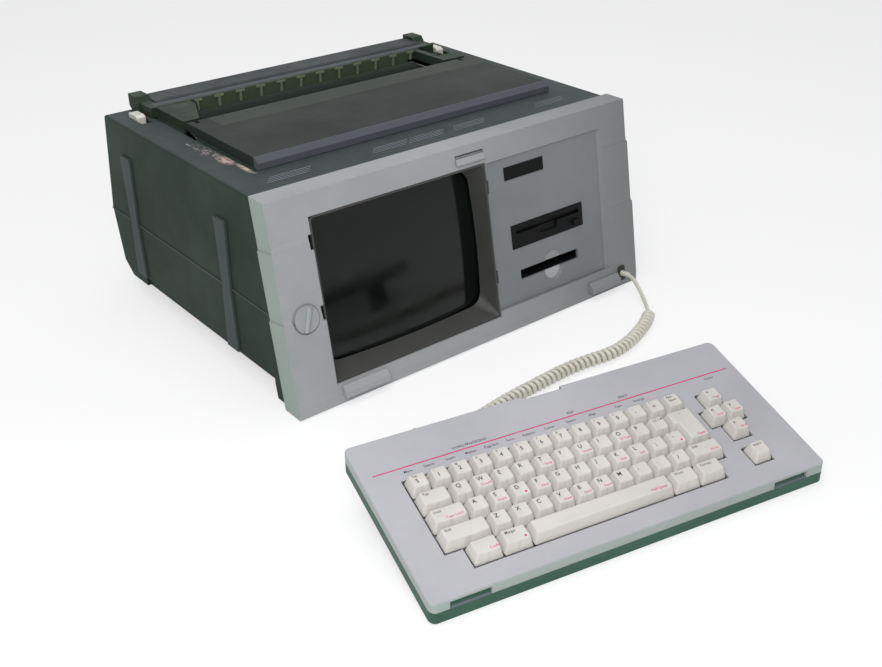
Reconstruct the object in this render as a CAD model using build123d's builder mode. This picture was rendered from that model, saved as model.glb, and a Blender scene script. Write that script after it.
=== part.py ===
from build123d import *
import os
from math import atan2, ceil, cos, degrees, hypot, pi, radians, sin, sqrt, tan

os.makedirs("parts", exist_ok=True)

# An electronic word processor: a case that holds a picture tube, two disk and cartridge slots and
# a daisy-wheel printer, and a separate keyboard on a curly lead.
# Millimetres. X to the user's right, Y to the back, Z up from the desk.
# The origin is on the desk, at the middle of the whole set's plan.

# ---------------------------------------------------------------- driving sizes, the case
UNIT_WIDTH = 456.8          # front bezel, top tier
UNIT_HEIGHT = 208.4         # desk to the bezel's top
FACE_SETBACK = 36.2         # the sloping face's top stands this far behind its foot
BEZEL_DEPTH = 24.7          # front to back
BEZEL_FOOT = 1.5            # gap under the bezel
TIER_STEP = 1.2             # each lower tier of the face stands this much further out
TIER_1, TIER_1_BEVEL = 171.0, 12.0    # up the face: upper edge of the first step, and its slope
TIER_2, TIER_2_BEVEL = 101.0, 9.0
CHIN_HEIGHT, CHIN_SETBACK = 11.0, 1.5
WALL = 3.0
THIN = 2.5                  # lighter covers and plates
CASE_INSET = 2.0            # the dark case is this much inside the bezel, each side and on top
SEAM_Z = 94.5
SEAM_BEAD = 0.8
CASE_TOP_REAR_Y = 367.0
CASE_REAR_Y = 385.0         # at the seam
PAN_REAR_Y, PAN_REAR_Z = 374.0, 33.0
PAN_Z = 19.0                # underside of the lower case
PAN_SLOPE_Y = 356.0
SKIRT_Z, SKIRT_Y = 3.0, 45.0
SKIRT_SLOPE = 3.0
FOOT_RADIUS, FOOT_HEIGHT = 12.0, 5.0
RIB_PROUD, RIB_WIDE, RIB_NARROW = 2.5, 21.0, 15.0
RIBS = ((123.5, 166.0, 25.0), (325.5, 170.0, 30.0))   # middle y, top z, foot z
FIT = 0.3                   # gap between pieces that move or drop in
RUN = 0.05                  # radial clearance of a shaft in its bore

# ---------------------------------------------------------------- driving sizes, the face
SCREEN_LEFT, SCREEN_RIGHT = -185.5, 25.0
SCREEN_SILL, SCREEN_HEAD = 22.4, 188.5
SCREEN_DEPTH = 22.0         # face to the glass's rim
SCREEN_TAPER = 4.9
SCREEN_FOOT_TAPER = 10.6
GLASS_BOW = 3.4             # the outline's sides bulge by this
GLASS_CORNER = 15.0
PANEL_RIGHT, PANEL_FOOT, PANEL_HEAD = 184.0, 28.0, 187.0
PANEL_SUNK = 1.5
SLOT_DRIVE = (51.5, 155.0, 88.0, 114.0)        # left, right, lower, upper
SLOT_CARTRIDGE = (59.5, 144.5, 52.3, 63.5)
SCOOP_X, SCOOP_RADIUS = 106.5, 12.5
BADGE = (49.3, 103.5, 163.0, 176.7)
LATCH = (-12.0, 24.5, 193.0, 203.0)
LATCH_BAR_HEIGHT = 6.2
KNOB_X, KNOB_S, KNOB_RADIUS = -206.1, 96.5, 13.0
CATCHES = ((-181.0, -129.0), (153.0, 198.0))
CATCH_FOOT, CATCH_HEAD, CATCH_PROUD = 8.0, 20.0, 7.0
GLAND_X, GLAND_S = 205.5, 17.0
GLAND_WIDE, GLAND_TALL = 7.4, 14.4
CLIP_TALL, CLIP_WIDE = 14.5, 3.4

# ---------------------------------------------------------------- driving sizes, the top
COVER_LEFT, COVER_RIGHT = -186.0, 190.0
COVER_FRONT, COVER_REAR = 113.0, 258.0
COVER_TOP_Z = 217.4
COVER_BEVEL = 7.0
MOUTH_LEFT, MOUTH_RIGHT = -168.0, 158.0     # the paper opening behind the cover
MOUTH_SLANT = 21.0          # its left end slants in by this much towards the wall behind
COVER_HINGE_Y, COVER_HINGE_Z = 249.0, 211.0
COVER_PIN_RADIUS = 2.0
TABLE_HALF = 193.0
TABLE_FRONT, TABLE_REAR = 260.5, 370.0
TABLE_TOP_Z, CHEEK_TOP_Z = 217.5, 216.9
WALL_Y, WALL_FOOT_Z = 320.6, 201.0      # the ribbed wall that stands behind the platen
RAIL_FRONT = 336.0          # front of the paper support where it lies
RAIL_THICK = 5.7
RAIL_AXIS_Y = 366.0
END_BLOCK_INNER, END_BLOCK_FRONT, END_BLOCK_Z = 180.0, 346.0, 223.0
RIB_COUNT, RIB_PITCH, RIB_FIRST_X = 12, 26.5, -138.5
LEVER_X, LEVER_SLOT = 203.5, (311.0, 345.5)
LEVER_WIDE, LEVER_LONG = 10.0, 20.0
LEVER_PIVOT_Y, LEVER_PIVOT_Z = 330.0, 150.0
VENT_GROUPS = ((-193.0, -147.0), (-74.0, -32.0), (-29.0, 15.0), (28.0, 70.0), (143.0, 184.0))

# ---------------------------------------------------------------- driving sizes, the printer
MECH_X, MECH_HALF = -9.0, 160.0       # middle of the printer, and half the room between its plates
MECH_PLATE = 2.5
MECH_FRONT, MECH_REAR = 190.0, 345.0
PLATEN_Y, PLATEN_Z, PLATEN_RADIUS = 303.0, 194.0, 15.0
SHAFT_RADIUS = 5.0
PLATEN_KNOB_RADIUS = 19.0
PLATEN_KNOB = (169.0, 186.0)
GEAR_MODULE, GEAR_TEETH, PINION_TEETH, GEAR_FACE = 0.8, 25, 12, 6.0
RAIL_RADIUS = 4.0
RAILS = ((222.0, 140.0), (252.0, 140.0))
CARRIAGE_HALF = 30.0
CARRIAGE_FRONT, CARRIAGE_REAR = 205.0, 276.0
CARRIAGE_Z, CARRIAGE_TOP_Z = 130.0, 174.0
WHEEL_RADIUS, WHEEL_Z, WHEEL_Y = 36.0, 164.0, 283.0
BELT_Y, BELT_Z, BELT_WIDE, PULLEY_RADIUS, BELT_THICK = 196.5, 148.0, 5.0, 8.0, 1.2
PULLEY_X = (-150.0, 133.0)

# ---------------------------------------------------------------- driving sizes, the keyboard
BOARD_WIDTH, BOARD_DEPTH = 376.6, 159.7         # in plan
BOARD_CORNER = 6.0
BOARD_FRONT_Z, BOARD_REAR_Z = 19.5, 58.3        # top face at the front and at the back
BOARD_THICK = 18.5          # measured straight up
BOARD_TURN = -12.02         # degrees about Z
BOARD_REAR_LEFT = (-269.6, -131.6)              # from the middle of the case's foot
SHELL_SPLIT = 8.5           # the pale upper shell's side, straight up
KEY_PITCH = 19.05
KEY_GAP = 1.2
KEY_HEIGHT = 9.0            # cap top above the keyboard's face
KEY_TAPER = 2.6
KEY_DISH = 0.7
KEY_TRAVEL = 3.0
FIRST_KEY_U, HOME_ROW_T = 40.47, 66.6
BOTTOM_ROW_LEFT, FUNCTION_KEY, SPACE_BAR = 46.5, 26.3, 133.35
CURSOR_SET_IN, CURSOR_T, INSERT_T = 50.3, 79.1, 30.5      # the first from the right-hand end
LEG_SET_SIDE = 80.0         # end of the keyboard to a leg's middle
LEG_WIDE, LEG_THICK, LEG_SET_IN = 40.0, 3.8, 12.0
LEG_PIN_RADIUS = 1.5
CATCH_POCKETS = ((16.0, 51.0), (BOARD_WIDTH - 55.6, BOARD_WIDTH - 20.6))
POCKET_DEEP, POCKET_TALL = 12.0, 9.0
LATCH_NOTCH = (168.0, 208.0)
BOARD_GLAND_U = 72.0

# ---------------------------------------------------------------- driving sizes, the lead
LEAD_RADIUS = 2.2
COIL_RADIUS = 7.25          # outside
COIL_PITCH = 6.8

# ---------------------------------------------------------------- where the case stands
TILT = degrees(atan2(FACE_SETBACK, UNIT_HEIGHT))
BOARD_SLOPE = atan2(BOARD_REAR_Z - BOARD_FRONT_Z, BOARD_DEPTH)
HEAD_RADIUS, HEAD_HEIGHT, HEAD_SEAT, SCREW_LENGTH = 3.6, 2.2, 0.6, 9.0    # rear screws
SCREW_Z = 106.0
rear_lean = (CASE_REAR_Y - CASE_TOP_REAR_Y) / (UNIT_HEIGHT - CASE_INSET - SEAM_Z)
screw_y = CASE_REAR_Y - rear_lean * (SCREW_Z - SEAM_Z) + HEAD_SEAT
CASE_HALF = UNIT_WIDTH / 2 - CASE_INSET
CASE_TOP_Z = UNIT_HEIGHT - CASE_INSET
LOW_HALF = UNIT_WIDTH / 2 + 2 * TIER_STEP

turn_cos, turn_sin = cos(radians(BOARD_TURN)), sin(radians(BOARD_TURN))
board_middle = (
    BOARD_REAR_LEFT[0] + BOARD_WIDTH / 2 * turn_cos + BOARD_DEPTH / 2 * turn_sin,
    BOARD_REAR_LEFT[1] + BOARD_WIDTH / 2 * turn_sin - BOARD_DEPTH / 2 * turn_cos,
)
straight_width, straight_depth = BOARD_WIDTH / 2 - BOARD_CORNER, BOARD_DEPTH / 2 - BOARD_CORNER
reach_x = straight_width * turn_cos + straight_depth * abs(turn_sin) + BOARD_CORNER
reach_y = straight_width * abs(turn_sin) + straight_depth * turn_cos + BOARD_CORNER
UNIT_X = -(board_middle[0] - reach_x + LOW_HALF) / 2
UNIT_Y = -(board_middle[1] - reach_y + screw_y + HEAD_HEIGHT) / 2


# ---------------------------------------------------------------- planes to draw on
def level(z):
    """Level plane, measured from the middle of the case's foot."""
    return Plane(origin=(UNIT_X, UNIT_Y, z))


def across(x):
    """Upright plane at one x: drawn with y and z."""
    return Plane(origin=(UNIT_X + x, UNIT_Y, 0), x_dir=(0, 1, 0), z_dir=(1, 0, 0))


def upright(y):
    """Upright plane at one y, seen from the front: drawn with x and z."""
    return Plane(origin=(UNIT_X, UNIT_Y + y, 0), x_dir=(1, 0, 0), z_dir=(0, -1, 0))


def face(out=0.0):
    """Plane parallel to the sloping face: drawn with x and the way up the face."""
    slope = radians(TILT)
    plane = Plane(origin=(UNIT_X, UNIT_Y, 0), x_dir=(1, 0, 0), z_dir=(0, -cos(slope), sin(slope)))
    return plane.offset(out)


def face_point(s, out):
    """The y and z of a point s up the face and out in front of it."""
    slope = radians(TILT)
    return (s * sin(slope) - out * cos(slope), s * cos(slope) + out * sin(slope))


def behind_face(z, back):
    """The y and z of a point at height z, on the slope a level distance behind the face."""
    return (z * tan(radians(TILT)) + back, z)


def board_across(u):
    """Upright plane of the keyboard at one u: drawn with the way back from its front, and z."""
    front_left = (
        UNIT_X + BOARD_REAR_LEFT[0] + BOARD_DEPTH * turn_sin + u * turn_cos,
        UNIT_Y + BOARD_REAR_LEFT[1] - BOARD_DEPTH * turn_cos + u * turn_sin,
    )
    return Plane(origin=(*front_left, 0), x_dir=(-turn_sin, turn_cos, 0), z_dir=(turn_cos, turn_sin, 0))


def board_level(z):
    """Level plane of the keyboard: drawn with u and the way back from its front."""
    return Plane(origin=(*tuple(board_across(0).origin)[:2], z), x_dir=(turn_cos, turn_sin, 0))


def board_face(up=0.0):
    """Plane parallel to the keyboard's top: drawn with u and t, the way up the slope."""
    normal = (turn_sin * sin(BOARD_SLOPE), -turn_cos * sin(BOARD_SLOPE), cos(BOARD_SLOPE))
    origin = board_across(0).origin + Vector(0, 0, BOARD_FRONT_Z)
    plane = Plane(origin=origin, x_dir=(turn_cos, turn_sin, 0), z_dir=normal)
    return plane.offset(up)


def board_top_z(back):
    return BOARD_FRONT_Z + back * tan(BOARD_SLOPE)


made = []


def finish(part, name):
    """Label a finished piece and write it."""
    part.label = name
    made.append(part)
    export_step(part, f"parts/{name}.step")


def box_sketch(left, right, low, high):
    """Rectangle by its four limits."""
    with Locations(((left + right) / 2, (low + high) / 2)):
        Rectangle(right - left, high - low)


# ---------------------------------------------------------------- front bezel
FRONT_LINE = (
    (0.0, 2 * TIER_STEP - CHIN_SETBACK),
    (CHIN_HEIGHT, 2 * TIER_STEP),
    (TIER_2 - TIER_2_BEVEL, 2 * TIER_STEP),
    (TIER_2, TIER_STEP),
    (TIER_1 - TIER_1_BEVEL, TIER_STEP),
    (TIER_1, 0.0),
)
BEZEL_BACK = -BEZEL_DEPTH * cos(radians(TILT))
FACE_LENGTH = hypot(UNIT_HEIGHT, FACE_SETBACK)
OVER = 10.0                 # how far a cutting shape runs past what it cuts
WALL_BACK = -WALL           # inner side of the face's wall


def bezel_section(top):
    """The bezel's side view up to one height of the face, drawn with y and z."""
    line = [point for point in FRONT_LINE if point[0] < top]
    line.append((top, line[-1][1]))
    line += [(top, BEZEL_BACK), (-OVER, BEZEL_BACK), (-OVER, FRONT_LINE[0][1])]
    return [face_point(s, out) for s, out in line]


tube_middle = (
    (SCREEN_LEFT + SCREEN_RIGHT) / 2,
    (SCREEN_SILL + SCREEN_FOOT_TAPER + SCREEN_HEAD - SCREEN_TAPER) / 2,
)
glass_half = (
    (SCREEN_RIGHT - SCREEN_LEFT) / 2 - SCREEN_TAPER,
    (SCREEN_HEAD - SCREEN_SILL - SCREEN_TAPER - SCREEN_FOOT_TAPER) / 2,
)
EAR_X, EAR_REACH, EAR_RADIUS = 58.0, 89.5, 6.0
EAR_DEPTH = 30.0
ear_places = [
    (tube_middle[0] + side * EAR_X, tube_middle[1] + end * EAR_REACH) for side in (-1, 1) for end in (-1, 1)
]
POST_RADIUS = 4.0
SCREW_RADIUS = 1.6
KNOB_RECESS = KNOB_RADIUS + 1.5
KNOB_FLOOR = 0.4            # out from the face
KNOB_SHAFT = 3.0
SHADE = 0.01                # keeps a cutting face off a face that it would only graze

with BuildPart() as front_bezel:
    tiers = (
        (0.0, FACE_LENGTH + OVER),
        (TIER_STEP, TIER_1 - TIER_1_BEVEL / 2),
        (2 * TIER_STEP, TIER_2 - TIER_2_BEVEL / 2),
    )
    for wider, top in tiers:
        with BuildSketch(across(0)):
            with BuildLine():
                Polyline(bezel_section(top), close=True)
            make_face()
        extrude(amount=UNIT_WIDTH / 2 + wider, both=True)
    split(bisect_by=level(UNIT_HEIGHT), keep=Keep.BOTTOM)
    split(bisect_by=level(BEZEL_FOOT), keep=Keep.TOP)
    inner_back = WALL / cos(radians(TILT))
    with BuildSketch(across(0)):
        with BuildLine():
            Polyline(
                behind_face(BEZEL_FOOT + WALL, inner_back),
                behind_face(UNIT_HEIGHT - WALL, inner_back),
                behind_face(UNIT_HEIGHT - WALL, BEZEL_DEPTH + OVER),
                behind_face(BEZEL_FOOT + WALL, BEZEL_DEPTH + OVER),
                close=True,
            )
        make_face()
    extrude(amount=UNIT_WIDTH / 2 - WALL, both=True, mode=Mode.SUBTRACT)
    # the screen's and the drive panel's opening, with the clip slots in its left edge
    with BuildSketch(face(OVER)):
        box_sketch(SCREEN_LEFT, SCREEN_RIGHT, SCREEN_SILL, SCREEN_HEAD)
        box_sketch(SCREEN_RIGHT - 1, PANEL_RIGHT, PANEL_FOOT, PANEL_HEAD)
        for s in (TIER_2 - TIER_2_BEVEL / 2, TIER_1 - TIER_1_BEVEL / 2):
            box_sketch(SCREEN_LEFT - CLIP_WIDE, SCREEN_LEFT + 1, s - CLIP_TALL / 2, s + CLIP_TALL / 2)
        box_sketch(*LATCH)
        with Locations((GLAND_X, GLAND_S)):
            Rectangle(GLAND_WIDE, GLAND_TALL)
    extrude(amount=-OVER - WALL - 1, mode=Mode.SUBTRACT)
    # the rounded step from the drive panel up to the right-hand column
    step_plane = Plane(face().from_local_coords((0, PANEL_FOOT, 0)), x_dir=(1, 0, 0), z_dir=face().y_dir)
    with BuildSketch(step_plane):
        with BuildLine():
            Polyline(
                (PANEL_RIGHT - 1, WALL - 1),
                (PANEL_RIGHT, WALL - 1),
                (PANEL_RIGHT + 4.2, 0.6),
                (PANEL_RIGHT + 6.5, -2 * TIER_STEP - 0.1),
                (PANEL_RIGHT - 1, -2 * TIER_STEP - 0.1),
                close=True,
            )
        make_face()
    extrude(amount=PANEL_HEAD - PANEL_FOOT, mode=Mode.SUBTRACT)
    # the knob's round recess and bore
    with BuildSketch(face(OVER)):
        with Locations((KNOB_X, KNOB_S)):
            Circle(KNOB_RECESS)
    extrude(amount=KNOB_FLOOR - OVER, mode=Mode.SUBTRACT)
    with BuildSketch(face(OVER)):
        with Locations((KNOB_X, KNOB_S)):
            Circle(KNOB_SHAFT + RUN)
    extrude(amount=-OVER - WALL - 1, mode=Mode.SUBTRACT)
    # posts that carry the picture tube by its ears
    with BuildSketch(face(WALL_BACK + SHADE)):
        with Locations(*ear_places):
            Circle(POST_RADIUS)
    extrude(amount=-(EAR_DEPTH - WALL + SHADE))
finish(front_bezel.part, "front_bezel")


# ---------------------------------------------------------------- screen surround and picture tube
def bowed_frame(middle, half_wide, half_tall, bow, corner):
    """Four sides that bulge by the bow, with round corners, about a middle."""
    x, s = middle
    wide, tall = half_wide - bow, half_tall - bow
    with BuildLine() as line:
        ThreePointArc((x - wide, s - tall), (x, s - half_tall), (x + wide, s - tall))
        ThreePointArc((x + wide, s - tall), (x + half_wide, s), (x + wide, s + tall))
        ThreePointArc((x + wide, s + tall), (x, s + half_tall), (x - wide, s + tall))
        ThreePointArc((x - wide, s + tall), (x - half_wide, s), (x - wide, s - tall))
    outline = make_face(line.edges())
    fillet(outline.vertices(), corner)


def bowed_outline(half_wide, half_tall, bow, corner):
    """Four bowed sides with round corners, about the screen's middle."""
    bowed_frame(tube_middle, half_wide, half_tall, bow, corner)


SURROUND_WALL = 1.8
SURROUND_LIP = 7.0
MOUTH_BOW = 0.05


def surround_mouth(shrink):
    """The surround's front edge: the screen opening, all but square."""
    middle = (tube_middle[0], (SCREEN_SILL + SCREEN_HEAD) / 2)
    wide, tall = (SCREEN_RIGHT - SCREEN_LEFT) / 2 - shrink, (SCREEN_HEAD - SCREEN_SILL) / 2 - shrink
    bowed_frame(middle, wide, tall, MOUTH_BOW, 4.0 - shrink / 2)


with BuildPart() as screen_surround:
    with BuildSketch(face(0)):
        surround_mouth(FIT)
    with BuildSketch(face(-SCREEN_DEPTH)):
        bowed_outline(glass_half[0] + SURROUND_WALL, glass_half[1] + SURROUND_WALL, GLASS_BOW, GLASS_CORNER)
    loft(ruled=True)
    with BuildSketch(face(-SCREEN_DEPTH)):
        bowed_outline(glass_half[0] + SURROUND_LIP, glass_half[1] + SURROUND_LIP, GLASS_BOW, GLASS_CORNER)
    extrude(amount=SURROUND_WALL)
    with BuildPart(mode=Mode.SUBTRACT):
        with BuildSketch(face(SHADE)):
            surround_mouth(FIT + SURROUND_WALL)
        with BuildSketch(face(-SCREEN_DEPTH - SHADE)):
            bowed_outline(*glass_half, GLASS_BOW, GLASS_CORNER)
        loft(ruled=True)
finish(screen_surround.part, "screen_surround")

GLASS_CROWN = 6.0
TUBE_RIM = 4.5
TUBE_SKIRT = 33.0
FUNNEL_DEPTH, NECK_DEPTH, TUBE_DEPTH = 92.0, 132.0, 226.0
NECK_RADIUS, BASE_RADIUS, BASE_LENGTH = 14.5, 17.0, 9.0
GLASS_FRONT = SCREEN_DEPTH - 1.8        # depth of the glass's middle, in front of its rim
rim_reach = hypot(glass_half[0], glass_half[1])
glass_sphere = (rim_reach**2 + GLASS_CROWN**2) / (2 * GLASS_CROWN)

with BuildPart() as picture_tube:
    with BuildSketch(face(-GLASS_FRONT)):
        bowed_outline(glass_half[0] + TUBE_RIM, glass_half[1] + TUBE_RIM, GLASS_BOW, GLASS_CORNER + 3)
    extrude(amount=-(TUBE_SKIRT - GLASS_FRONT))
    ball_middle = face(-GLASS_FRONT - glass_sphere).from_local_coords((*tube_middle, 0))
    with Locations(ball_middle):
        Sphere(glass_sphere, mode=Mode.INTERSECT)
    with BuildSketch(face(-TUBE_SKIRT)):
        with Locations(tube_middle):
            RectangleRounded(2 * glass_half[0], 2 * glass_half[1], GLASS_CORNER)
    with BuildSketch(face(-FUNNEL_DEPTH)):
        with Locations(tube_middle):
            RectangleRounded(glass_half[0], glass_half[1], GLASS_CORNER)
    with BuildSketch(face(-NECK_DEPTH)):
        with Locations(tube_middle):
            RectangleRounded(2 * NECK_RADIUS, 2 * NECK_RADIUS, NECK_RADIUS - 1)
    loft(ruled=True)
    with BuildSketch(face(-NECK_DEPTH)):
        with Locations(tube_middle):
            Circle(NECK_RADIUS)
    extrude(amount=-(TUBE_DEPTH - NECK_DEPTH))
    with BuildSketch(face(-TUBE_DEPTH)):
        with Locations(tube_middle):
            Circle(BASE_RADIUS)
    extrude(amount=BASE_LENGTH)
    # ears of the band round the skirt
    with BuildSketch(face(-EAR_DEPTH)):
        for x, s in ear_places:
            reach = EAR_REACH if s > tube_middle[1] else -EAR_REACH
            with Locations((x, tube_middle[1] + reach * 0.93)):
                Rectangle(2 * EAR_RADIUS, 2 * EAR_RADIUS + 4)
        with Locations(*ear_places):
            Circle(SCREW_RADIUS, mode=Mode.SUBTRACT)
    extrude(amount=-1.6)
finish(picture_tube.part, "picture_tube")

YOKE_DEPTH, YOKE_LENGTH, YOKE_RADIUS = 140.0, 32.0, 33.0
with BuildPart() as deflection_yoke:
    with BuildSketch(face(-YOKE_DEPTH)):
        with Locations(tube_middle):
            Circle(YOKE_RADIUS)
            Circle(NECK_RADIUS + FIT, mode=Mode.SUBTRACT)
    extrude(amount=-YOKE_LENGTH)
    chamfer(deflection_yoke.edges().filter_by(GeomType.CIRCLE).group_by(SortBy.RADIUS)[-1], 6)
finish(deflection_yoke.part, "deflection_yoke")

BOARD = 1.6                 # thickness of a circuit board
FLOOR_Z = PAN_Z + WALL      # inside of the lower case's floor
with BuildPart() as display_board:
    with BuildSketch(face(-TUBE_DEPTH)):
        with Locations(tube_middle):
            Rectangle(56, 56)
            Circle(4, mode=Mode.SUBTRACT)
    extrude(amount=-BOARD)
    with BuildSketch(across(-208)):
        box_sketch(90, 215, FLOOR_Z, 150)
    extrude(amount=BOARD)
    with BuildSketch(across(-208 + BOARD)):
        with Locations((180, 60)):
            Circle(15)
        with Locations((130, 45), (130, 75), (165, 110)):
            Circle(7)
    extrude(amount=24)
finish(display_board.part, "display_board")

# ---------------------------------------------------------------- drive panel and what it carries
PANEL_THICK = 2.5
PANEL_BACK = PANEL_SUNK + PANEL_THICK
PANEL_FLANGE, FLANGE_THICK = 4.0, 2.0
BRACKET_LENGTH = 116.0
drive_half = (SLOT_DRIVE[1] - SLOT_DRIVE[0]) / 2
drive_middle = ((SLOT_DRIVE[0] + SLOT_DRIVE[1]) / 2, (SLOT_DRIVE[2] + SLOT_DRIVE[3]) / 2)
DRIVE_BODY = (101.6, 25.4, 146.0)

with BuildPart() as drive_panel:
    with BuildSketch(face(-PANEL_SUNK)):
        box_sketch(SCREEN_RIGHT + FIT, PANEL_RIGHT - FIT, PANEL_FOOT + FIT, PANEL_HEAD - FIT)
    extrude(amount=-PANEL_THICK)
    with BuildSketch(face(-WALL)):
        flange_foot, flange_head = PANEL_FOOT - PANEL_FLANGE, PANEL_HEAD + PANEL_FLANGE
        box_sketch(SCREEN_RIGHT + FIT, PANEL_RIGHT + PANEL_FLANGE, flange_foot, flange_head)
    extrude(amount=-FLANGE_THICK)
    # left-hand wall, the right side of the screen's recess
    with BuildSketch(face(-PANEL_SUNK)):
        box_sketch(SCREEN_RIGHT + FIT, SCREEN_RIGHT + FIT + 2, PANEL_FOOT + FIT, PANEL_HEAD - FIT)
    extrude(amount=-(SCREEN_DEPTH - SURROUND_WALL - FIT - PANEL_SUNK))
    # brackets that the disk drive is screwed between
    with BuildSketch(face(-PANEL_BACK + SHADE)):
        for side in (-1, 1):
            inner, outer = drive_middle[0] + side * drive_half, drive_middle[0] + side * (drive_half + 2)
            box_sketch(min(inner, outer), max(inner, outer), *SLOT_DRIVE[2:])
    extrude(amount=-BRACKET_LENGTH)
    with BuildSketch(face(OVER)):
        box_sketch(*SLOT_DRIVE)
        box_sketch(*SLOT_CARTRIDGE)
        with Locations((SCOOP_X, SLOT_CARTRIDGE[3] - 3.5)):
            Circle(SCOOP_RADIUS)
        for x, s in ((SCREEN_RIGHT, 162.0), (SCREEN_RIGHT, 65.5)):
            box_sketch(x - 1, x + CLIP_WIDE, s - CLIP_TALL / 2, s + CLIP_TALL / 2)
    extrude(amount=-OVER - WALL - FLANGE_THICK - 1, mode=Mode.SUBTRACT)
    # shallow finger scoop below the cartridge slot
    with Locations(face(0).from_local_coords((SCOOP_X, SLOT_CARTRIDGE[2] - 1, 8.3))):
        Sphere(16.5, mode=Mode.SUBTRACT)
finish(drive_panel.part, "drive_panel")

with BuildPart() as badge_plate:
    with BuildSketch(face(-PANEL_SUNK)):
        box_sketch(*BADGE)
    extrude(amount=0.8)
finish(badge_plate.part, "badge_plate")

DRIVE_SLOT_S, DRIVE_SLOT_TALL, DRIVE_SLOT_WIDE = 106.0, 4.6, 92.0
EJECT_X, EJECT_S, EJECT_WIDE, EJECT_TALL = 143.0, 95.0, 10.0, 5.0
DRIVE_FACE_DEPTH = 8.0
DOOR_THICK = 1.2
with BuildPart() as floppy_bezel:
    with BuildSketch(face(-PANEL_SUNK + 0.8)):
        box_sketch(SLOT_DRIVE[0] + FIT, SLOT_DRIVE[1] - FIT, SLOT_DRIVE[2] + FIT, SLOT_DRIVE[3] - FIT)
    extrude(amount=-(DRIVE_FACE_DEPTH - PANEL_SUNK + 0.8))
    with BuildSketch(face(OVER)):
        with Locations((drive_middle[0], DRIVE_SLOT_S)):
            Rectangle(DRIVE_SLOT_WIDE, DRIVE_SLOT_TALL)
        with Locations((EJECT_X, EJECT_S)):
            Rectangle(EJECT_WIDE + 2 * FIT, EJECT_TALL + 2 * FIT)
    extrude(amount=-OVER - DRIVE_FACE_DEPTH - 1, mode=Mode.SUBTRACT)
    # finger notch across the middle of the slot
    with BuildSketch(face(OVER)):
        with Locations((drive_middle[0], DRIVE_SLOT_S - 3)):
            RectangleRounded(26, 14, 3)
    extrude(amount=-OVER - 3.2, mode=Mode.SUBTRACT)
finish(floppy_bezel.part, "floppy_bezel")

with BuildPart() as floppy_drive:
    with BuildSketch(face(-DRIVE_FACE_DEPTH)):
        with Locations(drive_middle):
            Rectangle(DRIVE_BODY[0], DRIVE_BODY[1] - 2 * FIT)
    extrude(amount=-DRIVE_BODY[2])
    with BuildSketch(face(-DRIVE_FACE_DEPTH)):
        with Locations((drive_middle[0], DRIVE_SLOT_S)):
            Rectangle(DRIVE_SLOT_WIDE, DRIVE_SLOT_TALL)
    extrude(amount=-95, mode=Mode.SUBTRACT)
    with BuildSketch(face(-DRIVE_FACE_DEPTH)):
        with Locations((EJECT_X, EJECT_S)):
            Rectangle(6.6, 3.6)
    extrude(amount=-24, mode=Mode.SUBTRACT)
    # hollow from the back, under sheet covers
    with BuildSketch(face(-DRIVE_FACE_DEPTH - DRIVE_BODY[2])):
        with Locations(drive_middle):
            Rectangle(DRIVE_BODY[0] - 5, DRIVE_BODY[1] - 2 * FIT - 2.4)
    extrude(amount=45, mode=Mode.SUBTRACT)
    with BuildSketch(face(-DRIVE_FACE_DEPTH - 30)):
        box_sketch(SLOT_DRIVE[0] + 4, SLOT_DRIVE[1] - 4, SLOT_DRIVE[2] + 2, DRIVE_SLOT_S - DRIVE_SLOT_TALL)
    extrude(amount=-80, mode=Mode.SUBTRACT)
finish(floppy_drive.part, "floppy_drive")

with BuildPart() as disk_door:
    with BuildSketch(face(-5.0)):
        with Locations((drive_middle[0], DRIVE_SLOT_S)):
            Rectangle(DRIVE_SLOT_WIDE - 2 * FIT, DRIVE_SLOT_TALL - 2 * FIT)
    extrude(amount=-DOOR_THICK)
    fillet(disk_door.edges().filter_by(Axis.X), DOOR_THICK * 0.4)
finish(disk_door.part, "disk_door")

EJECT_PROUD = 3.0
with BuildPart() as eject_button:
    with BuildSketch(face(EJECT_PROUD)):
        with Locations((EJECT_X, EJECT_S)):
            Rectangle(EJECT_WIDE, EJECT_TALL)
    extrude(amount=-EJECT_PROUD - 5)
    fillet(eject_button.faces().sort_by(Axis.Y)[0].edges(), 0.6)
    with BuildSketch(face(-5 + SHADE)):
        with Locations((EJECT_X, EJECT_S)):
            Rectangle(6, 3)
    extrude(amount=-14)
finish(eject_button.part, "eject_button")

SOCKET_DEPTH, SOCKET_WALL = 62.0, 3.0
with BuildPart() as cartridge_socket:
    with BuildSketch(face(-WALL - FLANGE_THICK)):
        left, right, low, high = SLOT_CARTRIDGE
        box_sketch(left - SOCKET_WALL, right + SOCKET_WALL, low - SOCKET_WALL, high + SOCKET_WALL)
    extrude(amount=-SOCKET_DEPTH)
    with BuildSketch(face(-WALL - FLANGE_THICK)):
        box_sketch(left + 0.4, right - 0.4, low + 0.2, high - 0.2)
    extrude(amount=-SOCKET_DEPTH + SOCKET_WALL, mode=Mode.SUBTRACT)
    # edge connector at the back of the socket
    with BuildSketch(face(-WALL - FLANGE_THICK - SOCKET_DEPTH + SOCKET_WALL)):
        with Locations(((left + right) / 2, (low + high) / 2)):
            Rectangle(64, 4)
    extrude(amount=8)
finish(cartridge_socket.part, "cartridge_socket")

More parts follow.
